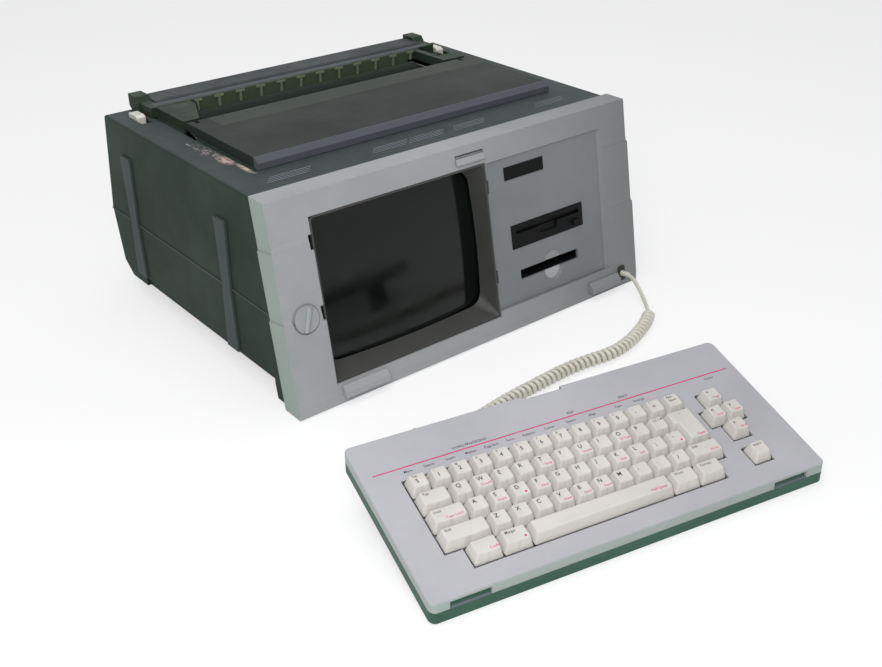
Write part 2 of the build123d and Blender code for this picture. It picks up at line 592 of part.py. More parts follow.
# ---------------------------------------------------------------- latch, knob, catches, lead bush
BAR_FRONT, BAR_BACK = 3.0, -WALL - FIT
with BuildPart() as keyboard_latch:
    left, right, low, high = LATCH
    latch_plane = Plane(face().from_local_coords((left + FIT, 0, 0)), x_dir=face().y_dir, z_dir=(1, 0, 0))
    with BuildSketch(latch_plane):
        with BuildLine():
            foot, head = low + FIT, low + FIT + LATCH_BAR_HEIGHT
            Polyline(
                (foot, BAR_BACK),
                (head, BAR_BACK),
                (head, BAR_FRONT - 2.2),
                (foot + 1, BAR_FRONT),
                (foot, BAR_FRONT),
                close=True,
            )
        make_face()
    extrude(amount=right - left - 2 * FIT)
    with BuildSketch(face(BAR_BACK)):
        box_sketch(left - 3.5, right + 3.5, low - 1.5, low + LATCH_BAR_HEIGHT + 2)
    extrude(amount=-1.6)
finish(keyboard_latch.part, "keyboard_latch")

KNOB_THICK, BAR_WIDE, BAR_PROUD, BAR_LEAN = 3.2, 5.0, 3.2, 18.0
with BuildPart() as brightness_knob:
    knob_foot = face(KNOB_FLOOR + FIT).from_local_coords((KNOB_X, KNOB_S, 0))
    knob_plane = Plane(knob_foot, x_dir=(1, 0, 0), z_dir=face().z_dir)
    with BuildSketch(knob_plane):
        Circle(KNOB_RADIUS)
    extrude(amount=KNOB_THICK)
    with BuildSketch(knob_plane.offset(KNOB_THICK)):
        with Locations(Rotation(0, 0, -BAR_LEAN)):
            Rectangle(BAR_WIDE, 2 * KNOB_RADIUS - 2)
    extrude(amount=BAR_PROUD)
    bar_top = brightness_knob.faces().sort_by(Axis(knob_plane.origin, knob_plane.z_dir))[-1]
    chamfer(bar_top.edges().sort_by(SortBy.LENGTH)[-2:], 1.2)
    with BuildSketch(knob_plane):
        Circle(KNOB_SHAFT)
    extrude(amount=-(WALL + 6))
finish(brightness_knob.part, "brightness_knob")

with BuildPart() as front_catches:
    for left, right in CATCHES:
        plane = Plane(face().from_local_coords((left, 0, 0)), x_dir=face().y_dir, z_dir=(1, 0, 0))
        with BuildSketch(plane):
            with BuildLine():
                root, tip = 2 * TIER_STEP, 2 * TIER_STEP + CATCH_PROUD
                Polyline(
                    (CHIN_HEIGHT, root),
                    (CATCH_HEAD, root),
                    (CATCH_HEAD, root + 2),
                    (CATCH_FOOT + 6, tip),
                    (CATCH_FOOT, tip),
                    (CATCH_FOOT, root - CHIN_SETBACK * (1 - CATCH_FOOT / CHIN_HEIGHT)),
                    close=True,
                )
            make_face()
        extrude(amount=right - left)
finish(front_catches.part, "front_catches")

GLAND_FLANGE = 1.4
with BuildPart() as unit_cord_gland:
    with BuildSketch(face(2 * TIER_STEP)):
        with Locations((GLAND_X, GLAND_S)):
            RectangleRounded(GLAND_WIDE + 3, GLAND_TALL + 3, 3)
    extrude(amount=GLAND_FLANGE)
    with BuildSketch(face(2 * TIER_STEP)):
        with Locations((GLAND_X, GLAND_S)):
            Rectangle(GLAND_WIDE - 2 * RUN, GLAND_TALL - 2 * RUN)
    extrude(amount=-(2 * TIER_STEP + WALL + 2))
finish(unit_cord_gland.part, "unit_cord_gland")

# ---------------------------------------------------------------- upper case
upper_line = [
    behind_face(SEAM_Z, BEZEL_DEPTH),
    behind_face(CASE_TOP_Z, BEZEL_DEPTH),
    (CASE_TOP_REAR_Y, CASE_TOP_Z),
    (CASE_REAR_Y, SEAM_Z),
]
COVER_GAP = FIT
WELL_FRONT = COVER_FRONT + 6
GROOVE_DEEP, GROOVE_WIDE = 1.8, 4.5
VENT_WIDE, VENT_PITCH, VENT_SHIFT, VENT_Y, VENT_LINES = 1.1, 3.6, 3.0, 80.0, 4
REAR_VENTS, REAR_VENT_PITCH = 12, 14.0
SCREW_PLACES = (-200.0, -80.0, 80.0, 200.0)


def side_rib(side, y, high, low, high_width, low_width):
    """One tapered rib, standing proud of a side wall."""
    with BuildSketch(across(side * (CASE_HALF - SHADE))) as rib:
        with BuildLine():
            Polyline(
                (y - high_width / 2, high),
                (y + high_width / 2, high),
                (y + low_width / 2, low),
                (y - low_width / 2, low),
                close=True,
            )
        make_face()
    extrude(rib.sketch, amount=RIB_PROUD + SHADE, dir=(side, 0, 0))


with BuildPart() as upper_case:
    with BuildSketch(across(0)):
        with BuildLine():
            Polyline(upper_line, close=True)
        make_face()
    extrude(amount=CASE_HALF, both=True)
    long_edges = upper_case.edges().filter_by(Axis.X).group_by(Axis.Z)[-1].sort_by(Axis.Y)
    side_edges = upper_case.faces().sort_by(Axis.Z)[-1].edges().filter_by(Axis.Y)
    fillet(side_edges + long_edges[-1:], 3)
    with BuildSketch(across(0)):
        with BuildLine():
            Polyline(
                behind_face(SEAM_Z - OVER, BEZEL_DEPTH - OVER),
                behind_face(CASE_TOP_Z - WALL, BEZEL_DEPTH - OVER),
                (CASE_TOP_REAR_Y - WALL, CASE_TOP_Z - WALL),
                (CASE_REAR_Y - WALL + rear_lean * OVER, SEAM_Z - OVER),
                close=True,
            )
        make_face()
    extrude(amount=CASE_HALF - WALL, both=True, mode=Mode.SUBTRACT)
    # well under the printer's cover, and room for the cover's hinge arms to swing
    with BuildSketch(level(CASE_TOP_Z + 1)):
        box_sketch(COVER_LEFT + 2, COVER_RIGHT - 2, WELL_FRONT, CASE_TOP_REAR_Y - 7)
        box_sketch(COVER_LEFT - 2, COVER_RIGHT + 2, COVER_HINGE_Y - 14, TABLE_FRONT)
        for side in (-1, 1):
            middle = side * LEVER_X
            box_sketch(middle - LEVER_WIDE / 2 - 0.8, middle + LEVER_WIDE / 2 + 0.8, *LEVER_SLOT)
    extrude(amount=-WALL - 3, mode=Mode.SUBTRACT)
    # groove beside the cover, and fine slanted groups of vent lines in front of it
    with BuildSketch(level(CASE_TOP_Z)):
        box_sketch(COVER_LEFT - GROOVE_WIDE, COVER_LEFT - 0.4, COVER_FRONT, END_BLOCK_FRONT - 1)
        for left, right in VENT_GROUPS:
            for line in range(VENT_LINES):
                with Locations(((left + right) / 2 + (line - 1.5) * VENT_SHIFT, VENT_Y + line * VENT_PITCH)):
                    Rectangle(right - left, VENT_WIDE)
    extrude(amount=-GROOVE_DEEP, mode=Mode.SUBTRACT)
    for side in (-1, 1):
        for y, high, low in RIBS:
            side_rib(side, y, high, SEAM_Z, RIB_WIDE, RIB_NARROW)
    # vents and screw holes through the back
    with BuildSketch(upright(CASE_REAR_Y + 1)):
        with Locations((0, 160)):
            with GridLocations(REAR_VENT_PITCH, 0, REAR_VENTS, 1):
                Rectangle(4, 36)
        with Locations(*[(x, SCREW_Z) for x in SCREW_PLACES]):
            Circle(SCREW_RADIUS + 0.4)
    extrude(amount=30, mode=Mode.SUBTRACT)
finish(upper_case.part, "upper_case")

# ---------------------------------------------------------------- lower case
lower_line = [
    behind_face(SKIRT_Z, BEZEL_DEPTH),
    (SKIRT_Y, SKIRT_Z),
    (SKIRT_Y + SKIRT_SLOPE, PAN_Z),
    (PAN_SLOPE_Y, PAN_Z),
    (PAN_REAR_Y, PAN_REAR_Z),
    (CASE_REAR_Y, SEAM_Z),
    behind_face(SEAM_Z, BEZEL_DEPTH),
]
lower_lean = (CASE_REAR_Y - PAN_REAR_Y) / (SEAM_Z - PAN_REAR_Z)
UNDERCUT, UNDERCUT_Z, UNDERCUT_REAR = 4.0, 29.0, 320.0
FEET = ((-190.0, 66.0), (190.0, 66.0), (-190.0, 326.0), (190.0, 326.0))
TAB_WIDE, TAB_RISE = 14.0, 22.0
INLET = (104.0, 64.0, 28.0, 20.0)       # x, z, width, height
SWITCH = (150.0, 64.0, 22.0, 14.0)
rear_angle = atan2(CASE_REAR_Y - PAN_REAR_Y, SEAM_Z - PAN_REAR_Z)


def lower_rear(x, z):
    """Plane on the lower rear wall, seen from behind, centred on one place."""
    y = CASE_REAR_Y - lower_lean * (SEAM_Z - z)
    return Plane(
        origin=(UNIT_X + x, UNIT_Y + y, z), x_dir=(-1, 0, 0), z_dir=(0, cos(rear_angle), -sin(rear_angle))
    )


with BuildPart() as lower_case:
    with BuildSketch(across(0)):
        with BuildLine():
            Polyline(lower_line, close=True)
        make_face()
    extrude(amount=CASE_HALF, both=True)
    # the foot of each side is set in
    with BuildSketch(level(PAN_Z - 1)):
        for side in (-1, 1):
            outer, inner = side * (CASE_HALF + 1), side * (CASE_HALF - UNDERCUT)
            box_sketch(min(outer, inner), max(outer, inner), SKIRT_Y + SKIRT_SLOPE, UNDERCUT_REAR)
    extrude(amount=UNDERCUT_Z - PAN_Z + 1, mode=Mode.SUBTRACT)
    with BuildSketch(across(0)):
        with BuildLine():
            Polyline(
                behind_face(SKIRT_Z + WALL, BEZEL_DEPTH - OVER),
                (SKIRT_Y - WALL, SKIRT_Z + WALL),
                (SKIRT_Y + SKIRT_SLOPE - WALL, FLOOR_Z),
                (PAN_SLOPE_Y - 1, FLOOR_Z),
                (PAN_REAR_Y - WALL, PAN_REAR_Z + 1),
                (CASE_REAR_Y - WALL, SEAM_Z),
                (CASE_REAR_Y - WALL, SEAM_Z + OVER),
                behind_face(SEAM_Z + OVER, BEZEL_DEPTH - OVER),
                close=True,
            )
        make_face()
    extrude(amount=CASE_HALF - WALL - UNDERCUT, both=True, mode=Mode.SUBTRACT)
    with BuildSketch(across(0)):
        with BuildLine():
            Polyline(
                behind_face(UNDERCUT_Z + WALL, BEZEL_DEPTH - OVER),
                (PAN_REAR_Y - WALL - 1, UNDERCUT_Z + WALL),
                (CASE_REAR_Y - WALL, SEAM_Z),
                (CASE_REAR_Y - WALL, SEAM_Z + OVER),
                behind_face(SEAM_Z + OVER, BEZEL_DEPTH - OVER),
                close=True,
            )
        make_face()
    extrude(amount=CASE_HALF - WALL, both=True, mode=Mode.SUBTRACT)
    # bead along the seam
    with BuildSketch(level(SEAM_Z)):
        front, rear = behind_face(SEAM_Z, BEZEL_DEPTH)[0], CASE_REAR_Y
        box_sketch(-CASE_HALF - SEAM_BEAD, CASE_HALF + SEAM_BEAD, front + 1, rear)
        box_sketch(-CASE_HALF + WALL - SHADE, CASE_HALF - WALL + SHADE, front - 1, rear - WALL)
    extrude(amount=-1.6, mode=Mode.ADD)
    with BuildSketch(level(SEAM_Z)):
        box_sketch(-CASE_HALF + WALL, CASE_HALF - WALL, front - OVER, rear - WALL - 0.4)
    extrude(amount=-1.7, mode=Mode.SUBTRACT)
    for side in (-1, 1):
        for y, high, low in RIBS:
            side_rib(side, y, SEAM_Z, low, RIB_NARROW, RIB_WIDE)
    # bosses down to the feet
    with BuildSketch(level(FOOT_HEIGHT)):
        with Locations(*FEET):
            Circle(FOOT_RADIUS + 1.5)
    extrude(amount=PAN_Z - FOOT_HEIGHT + 1)
    # tabs that the rear screws pull on
    for x in SCREW_PLACES:
        with BuildSketch(across(x)):
            with BuildLine():
                inner = CASE_REAR_Y - WALL - 0.2
                Polyline(
                    (inner, SEAM_Z - 12), (inner, SEAM_Z), (inner - rear_lean * TAB_RISE, SEAM_Z + TAB_RISE),
                    (inner - 4 - rear_lean * TAB_RISE, SEAM_Z + TAB_RISE), (inner - 4, SEAM_Z - 12),
                    close=True,
                )
            make_face()
        extrude(amount=TAB_WIDE / 2, both=True)
    with BuildSketch(upright(CASE_REAR_Y + 1)):
        with Locations(*[(x, SCREW_Z) for x in SCREW_PLACES]):
            Circle(SCREW_RADIUS + RUN)
    extrude(amount=30, mode=Mode.SUBTRACT)
    # cut-outs for the power inlet and switch
    for x, z, wide, tall in (INLET, SWITCH):
        with BuildSketch(lower_rear(x, z).offset(1)):
            Rectangle(wide, tall)
        extrude(amount=-8, mode=Mode.SUBTRACT)
finish(lower_case.part, "lower_case")

with BuildPart() as rubber_feet:
    with BuildSketch(level(0)):
        with Locations(*FEET):
            Circle(FOOT_RADIUS)
    extrude(amount=FOOT_HEIGHT)
    chamfer(rubber_feet.edges().filter_by(GeomType.CIRCLE).group_by(Axis.Z)[0], 1)
finish(rubber_feet.part, "rubber_feet")

with BuildPart() as case_screws:
    for x in SCREW_PLACES:
        with BuildSketch(upright(screw_y)):
            with Locations((x, SCREW_Z)):
                Circle(HEAD_RADIUS)
        extrude(amount=-HEAD_HEIGHT)
        with BuildSketch(upright(screw_y)):
            with Locations((x, SCREW_Z)):
                Circle(SCREW_RADIUS)
        extrude(amount=SCREW_LENGTH)
finish(case_screws.part, "case_screws")

# ---------------------------------------------------------------- printer cover
LUG_LEFT, LUG_RIGHT, LUG_THICK, LUG_RADIUS = -179.0, 172.0, 4.0, 3.6
cover_foot = CASE_TOP_Z + COVER_GAP
with BuildPart() as printer_cover:
    with BuildSketch(across(COVER_LEFT)):
        with BuildLine():
            Polyline(
                (COVER_FRONT, cover_foot), (COVER_FRONT, COVER_TOP_Z - COVER_BEVEL * 0.6),
                (COVER_FRONT + COVER_BEVEL, COVER_TOP_Z), (COVER_REAR, COVER_TOP_Z), (COVER_REAR, cover_foot),
                close=True,
            )
        make_face()
    extrude(amount=COVER_RIGHT - COVER_LEFT)
    rear_top = printer_cover.edges().filter_by(Axis.X).group_by(Axis.Y)[-1].sort_by(Axis.Z)[-1]
    fillet(rear_top, COVER_TOP_Z - COVER_HINGE_Z)
    with BuildSketch(across(COVER_LEFT + THIN)):
        with BuildLine():
            Polyline(
                (COVER_FRONT + THIN, cover_foot - 1),
                (COVER_FRONT + THIN, COVER_TOP_Z - COVER_BEVEL * 0.6 - THIN * 0.5),
                (COVER_FRONT + COVER_BEVEL + 1, COVER_TOP_Z - THIN),
                (COVER_REAR - 5, COVER_TOP_Z - THIN),
                (COVER_REAR - 5, COVER_HINGE_Z - 0.2),
                (COVER_REAR + 1, COVER_HINGE_Z - 0.2),
                (COVER_REAR + 1, cover_foot - 1),
                close=True,
            )
        make_face()
    extrude(amount=COVER_RIGHT - COVER_LEFT - 2 * THIN, mode=Mode.SUBTRACT)
    # relieve the skirt round the hinge at both ends, where webs carry the inner ends of the pins
    for left, right in ((COVER_LEFT - 1, MOUTH_LEFT), (MOUTH_RIGHT, COVER_RIGHT + 1)):
        with BuildSketch(across(left)):
            box_sketch(COVER_HINGE_Y - 9, COVER_REAR + 1, cover_foot - 1, COVER_HINGE_Z - 2.5)
        extrude(amount=right - left, mode=Mode.SUBTRACT)
    for x in (MOUTH_LEFT, MOUTH_RIGHT - THIN):
        with BuildSketch(across(x)):
            box_sketch(COVER_HINGE_Y - 9, COVER_REAR - 3, cover_foot, COVER_TOP_Z - 1)
        extrude(amount=THIN)
    with BuildSketch(level(cover_foot)):
        box_sketch(MOUTH_LEFT, MOUTH_RIGHT, COVER_REAR - THIN, COVER_REAR)
    extrude(amount=COVER_HINGE_Z - cover_foot)
    # slots that the hinge lugs pass through as the cover opens
    for x in (LUG_LEFT, LUG_RIGHT):
        with BuildSketch(across(x - FIT)):
            box_sketch(COVER_HINGE_Y - LUG_RADIUS - 2 * FIT, COVER_REAR + 1, cover_foot - 1, COVER_TOP_Z + 1)
        extrude(amount=LUG_THICK + 2 * FIT, mode=Mode.SUBTRACT)
    for left, right in ((COVER_LEFT + 1, MOUTH_LEFT + 1), (MOUTH_RIGHT - 1, COVER_RIGHT - 1)):
        with BuildSketch(across(left)):
            with Locations((COVER_HINGE_Y, COVER_HINGE_Z)):
                Circle(COVER_PIN_RADIUS)
        extrude(amount=right - left)
finish(printer_cover.part, "printer_cover")

# ---------------------------------------------------------------- paper table with its ribs
RAIL_LEDGE_Z = TABLE_TOP_Z - 4.2
RAIL_FOOT_Z = RAIL_LEDGE_Z + FIT
KNOB_WELL = PLATEN_KNOB_RADIUS + 2.5
RIB_PROUD_OF_WALL = 2.0
APRON_RIGHT = 149.5         # the wall's lower part stops short of the printer's right plate

with BuildPart() as paper_table:
    with BuildSketch(across(0)):
        with BuildLine():
            Polyline(
                (WALL_Y, cover_foot), (WALL_Y, TABLE_TOP_Z),
                (RAIL_FRONT - 1, TABLE_TOP_Z),
                (RAIL_FRONT - 1, RAIL_LEDGE_Z),
                (RAIL_AXIS_Y - 1, RAIL_LEDGE_Z),
                (RAIL_AXIS_Y - 1, CASE_TOP_Z),
                (WALL_Y + THIN, CASE_TOP_Z),
                close=True,
            )
        make_face()
    extrude(amount=TABLE_HALF, both=True)
    # cheeks at both ends of the mouth, the left one with a slanted shelf over the platen's end
    with BuildSketch(level(cover_foot)):
        box_sketch(COVER_LEFT, MOUTH_LEFT, TABLE_FRONT, WALL_Y + THIN)
        box_sketch(MOUTH_RIGHT, COVER_RIGHT, TABLE_FRONT, WALL_Y + THIN)
    extrude(amount=CHEEK_TOP_Z - cover_foot)
    with BuildSketch(level(PLATEN_Z + PLATEN_RADIUS + 2)):
        with BuildLine():
            Polyline(
                (MOUTH_LEFT - 1, TABLE_FRONT), (MOUTH_LEFT, TABLE_FRONT),
                (MOUTH_LEFT + MOUTH_SLANT, WALL_Y - 12),
                (MOUTH_LEFT + MOUTH_SLANT, WALL_Y + THIN), (MOUTH_LEFT - 1, WALL_Y + THIN),
                close=True,
            )
        make_face()
    extrude(amount=CHEEK_TOP_Z - PLATEN_Z - PLATEN_RADIUS - 2)
    # end blocks that hold the paper support's pins
    for side in (-1, 1):
        with BuildSketch(across(side * END_BLOCK_INNER)):
            with BuildLine():
                Polyline(
                    (END_BLOCK_FRONT, CASE_TOP_Z),
                    (END_BLOCK_FRONT, TABLE_TOP_Z),
                    (END_BLOCK_FRONT + 5, END_BLOCK_Z),
                    (TABLE_REAR, END_BLOCK_Z), (TABLE_REAR, CASE_TOP_Z + 3), (RAIL_AXIS_Y - 1, CASE_TOP_Z),
                    close=True,
                )
            make_face()
        extrude(amount=side * (TABLE_HALF + 2 - END_BLOCK_INNER))
        with BuildSketch(across(side * END_BLOCK_INNER)):
            box_sketch(RAIL_FRONT - 2, RAIL_AXIS_Y, RAIL_LEDGE_Z - SHADE, TABLE_TOP_Z)
        extrude(amount=side * (TABLE_HALF - END_BLOCK_INNER))
    # hollow underneath
    with BuildSketch(across(0)):
        with BuildLine():
            under = TABLE_TOP_Z - THIN
            Polyline(
                (WALL_Y + THIN, CASE_TOP_Z - 1), (WALL_Y + THIN, under),
                (RAIL_FRONT - 1 - THIN, under),
                (RAIL_FRONT - 1 - THIN, RAIL_LEDGE_Z - THIN),
                (RAIL_AXIS_Y - 1 - THIN, RAIL_LEDGE_Z - THIN),
                (RAIL_AXIS_Y - 1 - THIN, CASE_TOP_Z - 1),
                close=True,
            )
        make_face()
    extrude(amount=END_BLOCK_INNER - 2, both=True, mode=Mode.SUBTRACT)
    for side in (-1, 1):
        with BuildSketch(across(side * (END_BLOCK_INNER - THIN))):
            with Locations((RAIL_AXIS_Y, RAIL_FOOT_Z + RAIL_THICK / 2)):
                Circle(2 + RUN)
        extrude(amount=side * (THIN + 9), mode=Mode.SUBTRACT)
    # the knob's scalloped well at the right-hand end, open at the top
    with BuildSketch(across(PLATEN_KNOB[0] - 3)):
        with Locations((PLATEN_Y, PLATEN_Z)):
            Circle(KNOB_WELL)
        box_sketch(PLATEN_Y - KNOB_WELL, PLATEN_Y + KNOB_WELL, PLATEN_Z, TABLE_TOP_Z + 1)
    extrude(amount=TABLE_HALF + 4 - PLATEN_KNOB[0] + 3, mode=Mode.SUBTRACT)
    # the wall goes on down behind the platen to a lip
    with BuildSketch(across(MOUTH_LEFT + 0.5)):
        with BuildLine():
            Polyline(
                (WALL_Y, cover_foot + 1), (WALL_Y, WALL_FOOT_Z + 1.6), (WALL_Y - 2.4, WALL_FOOT_Z + 1.6),
                (WALL_Y - 2.4, WALL_FOOT_Z),
                (WALL_Y + THIN, WALL_FOOT_Z), (WALL_Y + THIN, cover_foot + 1),
                close=True,
            )
        make_face()
    extrude(amount=APRON_RIGHT - MOUTH_LEFT - 0.5)
    # upright T-shaped ribs that hold the paper off the wall
    for index in range(RIB_COUNT):
        x = RIB_FIRST_X + index * RIB_PITCH
        foot = WALL_FOOT_Z + 1 if x < APRON_RIGHT else cover_foot
        for half, low, high in ((1.4, foot, TABLE_TOP_Z - 1), (5.5, TABLE_TOP_Z - 3.2, TABLE_TOP_Z - 0.8)):
            with BuildSketch(across(x - half)):
                box_sketch(WALL_Y - RIB_PROUD_OF_WALL, WALL_Y + 0.5, low, high)
            extrude(amount=2 * half)
    # lugs that carry the cover's hinge pins
    for x in (LUG_LEFT, LUG_RIGHT):
        with BuildSketch(across(x)):
            with Locations((COVER_HINGE_Y, COVER_HINGE_Z)):
                Circle(LUG_RADIUS)
            box_sketch(COVER_HINGE_Y, TABLE_FRONT + THIN, COVER_HINGE_Z - LUG_RADIUS, COVER_HINGE_Z - 1)
            with Locations((COVER_HINGE_Y, COVER_HINGE_Z)):
                Circle(COVER_PIN_RADIUS + RUN, mode=Mode.SUBTRACT)
        extrude(amount=LUG_THICK)
finish(paper_table.part, "paper_table")

with BuildPart() as paper_support:
    half = END_BLOCK_INNER - FIT
    with BuildSketch(across(0)):
        with BuildLine():
            foot, head = RAIL_FOOT_Z, RAIL_FOOT_Z + RAIL_THICK
            Polyline(
                (RAIL_AXIS_Y, foot),
                (RAIL_FRONT, foot),
                (RAIL_FRONT, head - 1.5),
                (RAIL_FRONT + 3, head),
                (RAIL_AXIS_Y, head),
            )
            round_back = (RAIL_AXIS_Y + RAIL_THICK / 2, (foot + head) / 2)
            ThreePointArc((RAIL_AXIS_Y, head), round_back, (RAIL_AXIS_Y, foot))
        make_face()
    extrude(amount=half, both=True)
    with BuildSketch(across(0)):
        with Locations((RAIL_AXIS_Y, RAIL_FOOT_Z + RAIL_THICK / 2)):
            Circle(2)
    extrude(amount=half + 6, both=True)
finish(paper_support.part, "paper_support")

# ---------------------------------------------------------------- printer frame
plate_left, plate_right = MECH_X - MECH_HALF - MECH_PLATE, MECH_X + MECH_HALF
DECK_Z, DECK_THICK = 118.0, 2.5
PLATE_TOP_Z = 204.5
LEVER_PIN = 2.0
PIN_END = LEVER_X + LEVER_WIDE / 2
gear_radius, pinion_radius = GEAR_MODULE * GEAR_TEETH / 2, GEAR_MODULE * PINION_TEETH / 2
pinion_z = PLATEN_Z - gear_radius - pinion_radius - 0.1
MOTOR_SHAFT = 1.5
MOTOR_X, MOTOR_Z = PULLEY_X[0], BELT_Z
with BuildPart() as printer_frame:
    for x in (plate_left, plate_right):
        with BuildSketch(across(x)):
            with BuildLine():
                Polyline(
                    (MECH_FRONT, FLOOR_Z), (MECH_FRONT, DECK_Z + 52), (MECH_FRONT + 20, DECK_Z + 60),
                    (PLATEN_Y - 26, PLATE_TOP_Z - 8),
                    (PLATEN_Y - 20, PLATE_TOP_Z),
                    (PLATEN_Y + 18, PLATE_TOP_Z),
                    (MECH_REAR, DECK_Z + 46), (MECH_REAR, FLOOR_Z + 18), (MECH_REAR - 8, FLOOR_Z),
                    close=True,
                )
            make_face()
            with Locations((PLATEN_Y, PLATEN_Z)):
                Circle(SHAFT_RADIUS + RUN, mode=Mode.SUBTRACT)
            with Locations(*RAILS):
                Circle(RAIL_RADIUS + RUN, mode=Mode.SUBTRACT)
            with Locations((PLATEN_Y, pinion_z)):
                Circle(MOTOR_SHAFT + 1, mode=Mode.SUBTRACT)
        extrude(amount=MECH_PLATE)
    with BuildSketch(level(DECK_Z)):
        box_sketch(plate_left + 1, plate_right + 1, MECH_FRONT, MECH_REAR - 6)
        with Locations((MECH_X, 262)):
            with GridLocations(60, 70, 5, 2):
                RectangleRounded(40, 44, 6, mode=Mode.SUBTRACT)
    extrude(amount=DECK_THICK)
    with BuildSketch(upright(MECH_FRONT + MECH_PLATE)):
        box_sketch(plate_left + 1, plate_right + 1, DECK_Z, DECK_Z + 50)
        with Locations((MOTOR_X, MOTOR_Z)):
            Circle(MOTOR_SHAFT + 2, mode=Mode.SUBTRACT)
    extrude(amount=MECH_PLATE)
    with BuildSketch(upright(MECH_REAR - 6)):
        box_sketch(plate_left + 1, plate_right + 1, DECK_Z, DECK_Z + 40)
    extrude(amount=MECH_PLATE)
    # stub shafts for the two levers, and for the belt's idler pulley
    for start, end in ((plate_left + 1, -PIN_END), (plate_right + 1, PIN_END)):
        with BuildSketch(across(start)):
            with Locations((LEVER_PIVOT_Y, LEVER_PIVOT_Z)):
                Circle(LEVER_PIN)
        extrude(amount=end - start)
    with BuildSketch(upright(MECH_FRONT + MECH_PLATE - 1)):
        with Locations((PULLEY_X[1], BELT_Z)):
            Circle(PULLEY_RADIUS)
    extrude(amount=-(BELT_Y + BELT_WIDE - MECH_FRONT - MECH_PLATE + 2))
finish(printer_frame.part, "printer_frame")

with BuildPart() as carriage_rails:
    with BuildSketch(across(plate_left)):
        with Locations(*RAILS):
            Circle(RAIL_RADIUS)
    extrude(amount=plate_right + MECH_PLATE - plate_left)
finish(carriage_rails.part, "carriage_rails")


# ---------------------------------------------------------------- platen, its gear and its motor
def gear_outline(teeth, half_turn, z):
    """Straight-flanked teeth round the platen's y and a height; half_turn puts a gap at the foot."""
    pitch = GEAR_MODULE * teeth / 2
    root, tip = pitch - 1.15 * GEAR_MODULE, pitch + 0.8 * GEAR_MODULE
    step = 2 * pi / teeth
    points = []
    for index in range(teeth):
        middle = (index + (0.5 if half_turn else 0)) * step - pi / 2
        for radius, half in ((root, 0.31), (tip, 0.13)):
            angle = middle - half * step
            points.append((PLATEN_Y + radius * cos(angle), z + radius * sin(angle)))
        for radius, half in ((tip, 0.13), (root, 0.31)):
            angle = middle + half * step
            points.append((PLATEN_Y + radius * cos(angle), z + radius * sin(angle)))
    return points


GEAR_X = plate_left - FIT - GEAR_FACE
with BuildPart() as platen:
    with BuildSketch(across(MECH_X - MECH_HALF + 6)):
        with Locations((PLATEN_Y, PLATEN_Z)):
            Circle(PLATEN_RADIUS)
    extrude(amount=2 * MECH_HALF - 12)
    with BuildSketch(across(GEAR_X - 1)):
        with Locations((PLATEN_Y, PLATEN_Z)):
            Circle(SHAFT_RADIUS)
    extrude(amount=PLATEN_KNOB[1] - 4 - GEAR_X + 1)
finish(platen.part, "platen")

with BuildPart() as platen_knob:
    with BuildSketch(across(PLATEN_KNOB[0])):
        with Locations((PLATEN_Y, PLATEN_Z)):
            Circle(PLATEN_KNOB_RADIUS)
    extrude(amount=PLATEN_KNOB[1] - PLATEN_KNOB[0])
    chamfer(platen_knob.edges().filter_by(GeomType.CIRCLE), 1.5)
    with BuildSketch(across(PLATEN_KNOB[0] - 1)):
        with Locations((PLATEN_Y, PLATEN_Z)):
            with PolarLocations(PLATEN_KNOB_RADIUS + 1.2, 20):
                Circle(2)
    extrude(amount=PLATEN_KNOB[1] - PLATEN_KNOB[0] + 2, mode=Mode.SUBTRACT)
    with BuildSketch(across(PLATEN_KNOB[0])):
        with Locations((PLATEN_Y, PLATEN_Z)):
            Circle(SHAFT_RADIUS)
    extrude(amount=PLATEN_KNOB[1] - 4 - PLATEN_KNOB[0], mode=Mode.SUBTRACT)
finish(platen_knob.part, "platen_knob")

with BuildPart() as platen_gear:
    with BuildSketch(across(GEAR_X)):
        with BuildLine():
            Polyline(gear_outline(GEAR_TEETH, False, PLATEN_Z), close=True)
        make_face()
        with Locations((PLATEN_Y, PLATEN_Z)):
            Circle(SHAFT_RADIUS, mode=Mode.SUBTRACT)
    extrude(amount=GEAR_FACE)
finish(platen_gear.part, "platen_gear")

with BuildPart() as feed_pinion:
    with BuildSketch(across(GEAR_X)):
        with BuildLine():
            Polyline(gear_outline(PINION_TEETH, True, pinion_z), close=True)
        make_face()
        with Locations((PLATEN_Y, pinion_z)):
            Circle(MOTOR_SHAFT + RUN, mode=Mode.SUBTRACT)
    extrude(amount=GEAR_FACE)
finish(feed_pinion.part, "feed_pinion")

FEED_MOTOR = (13.0, 26.0)       # radius, length
POST_SET = 13.0
motor_face = GEAR_X - 1.2
with BuildPart() as feed_motor:
    with BuildSketch(across(motor_face)):
        with Locations((PLATEN_Y, pinion_z)):
            RectangleRounded(2 * POST_SET + 6, 2 * POST_SET + 6, 3)
    extrude(amount=-1.5)
    with BuildSketch(across(motor_face - 1.5 + SHADE)):
        with Locations((PLATEN_Y, pinion_z)):
            Circle(FEED_MOTOR[0])
    extrude(amount=-FEED_MOTOR[1])
    with BuildSketch(across(motor_face - SHADE)):
        with Locations((PLATEN_Y, pinion_z)):
            with GridLocations(2 * POST_SET, 2 * POST_SET, 2, 2):
                Circle(2)
    extrude(amount=plate_left - motor_face + SHADE)
    with BuildSketch(across(motor_face - SHADE)):
        with Locations((PLATEN_Y, pinion_z)):
            Circle(MOTOR_SHAFT)
    extrude(amount=plate_left + 1 - motor_face)
finish(feed_motor.part, "feed_motor")

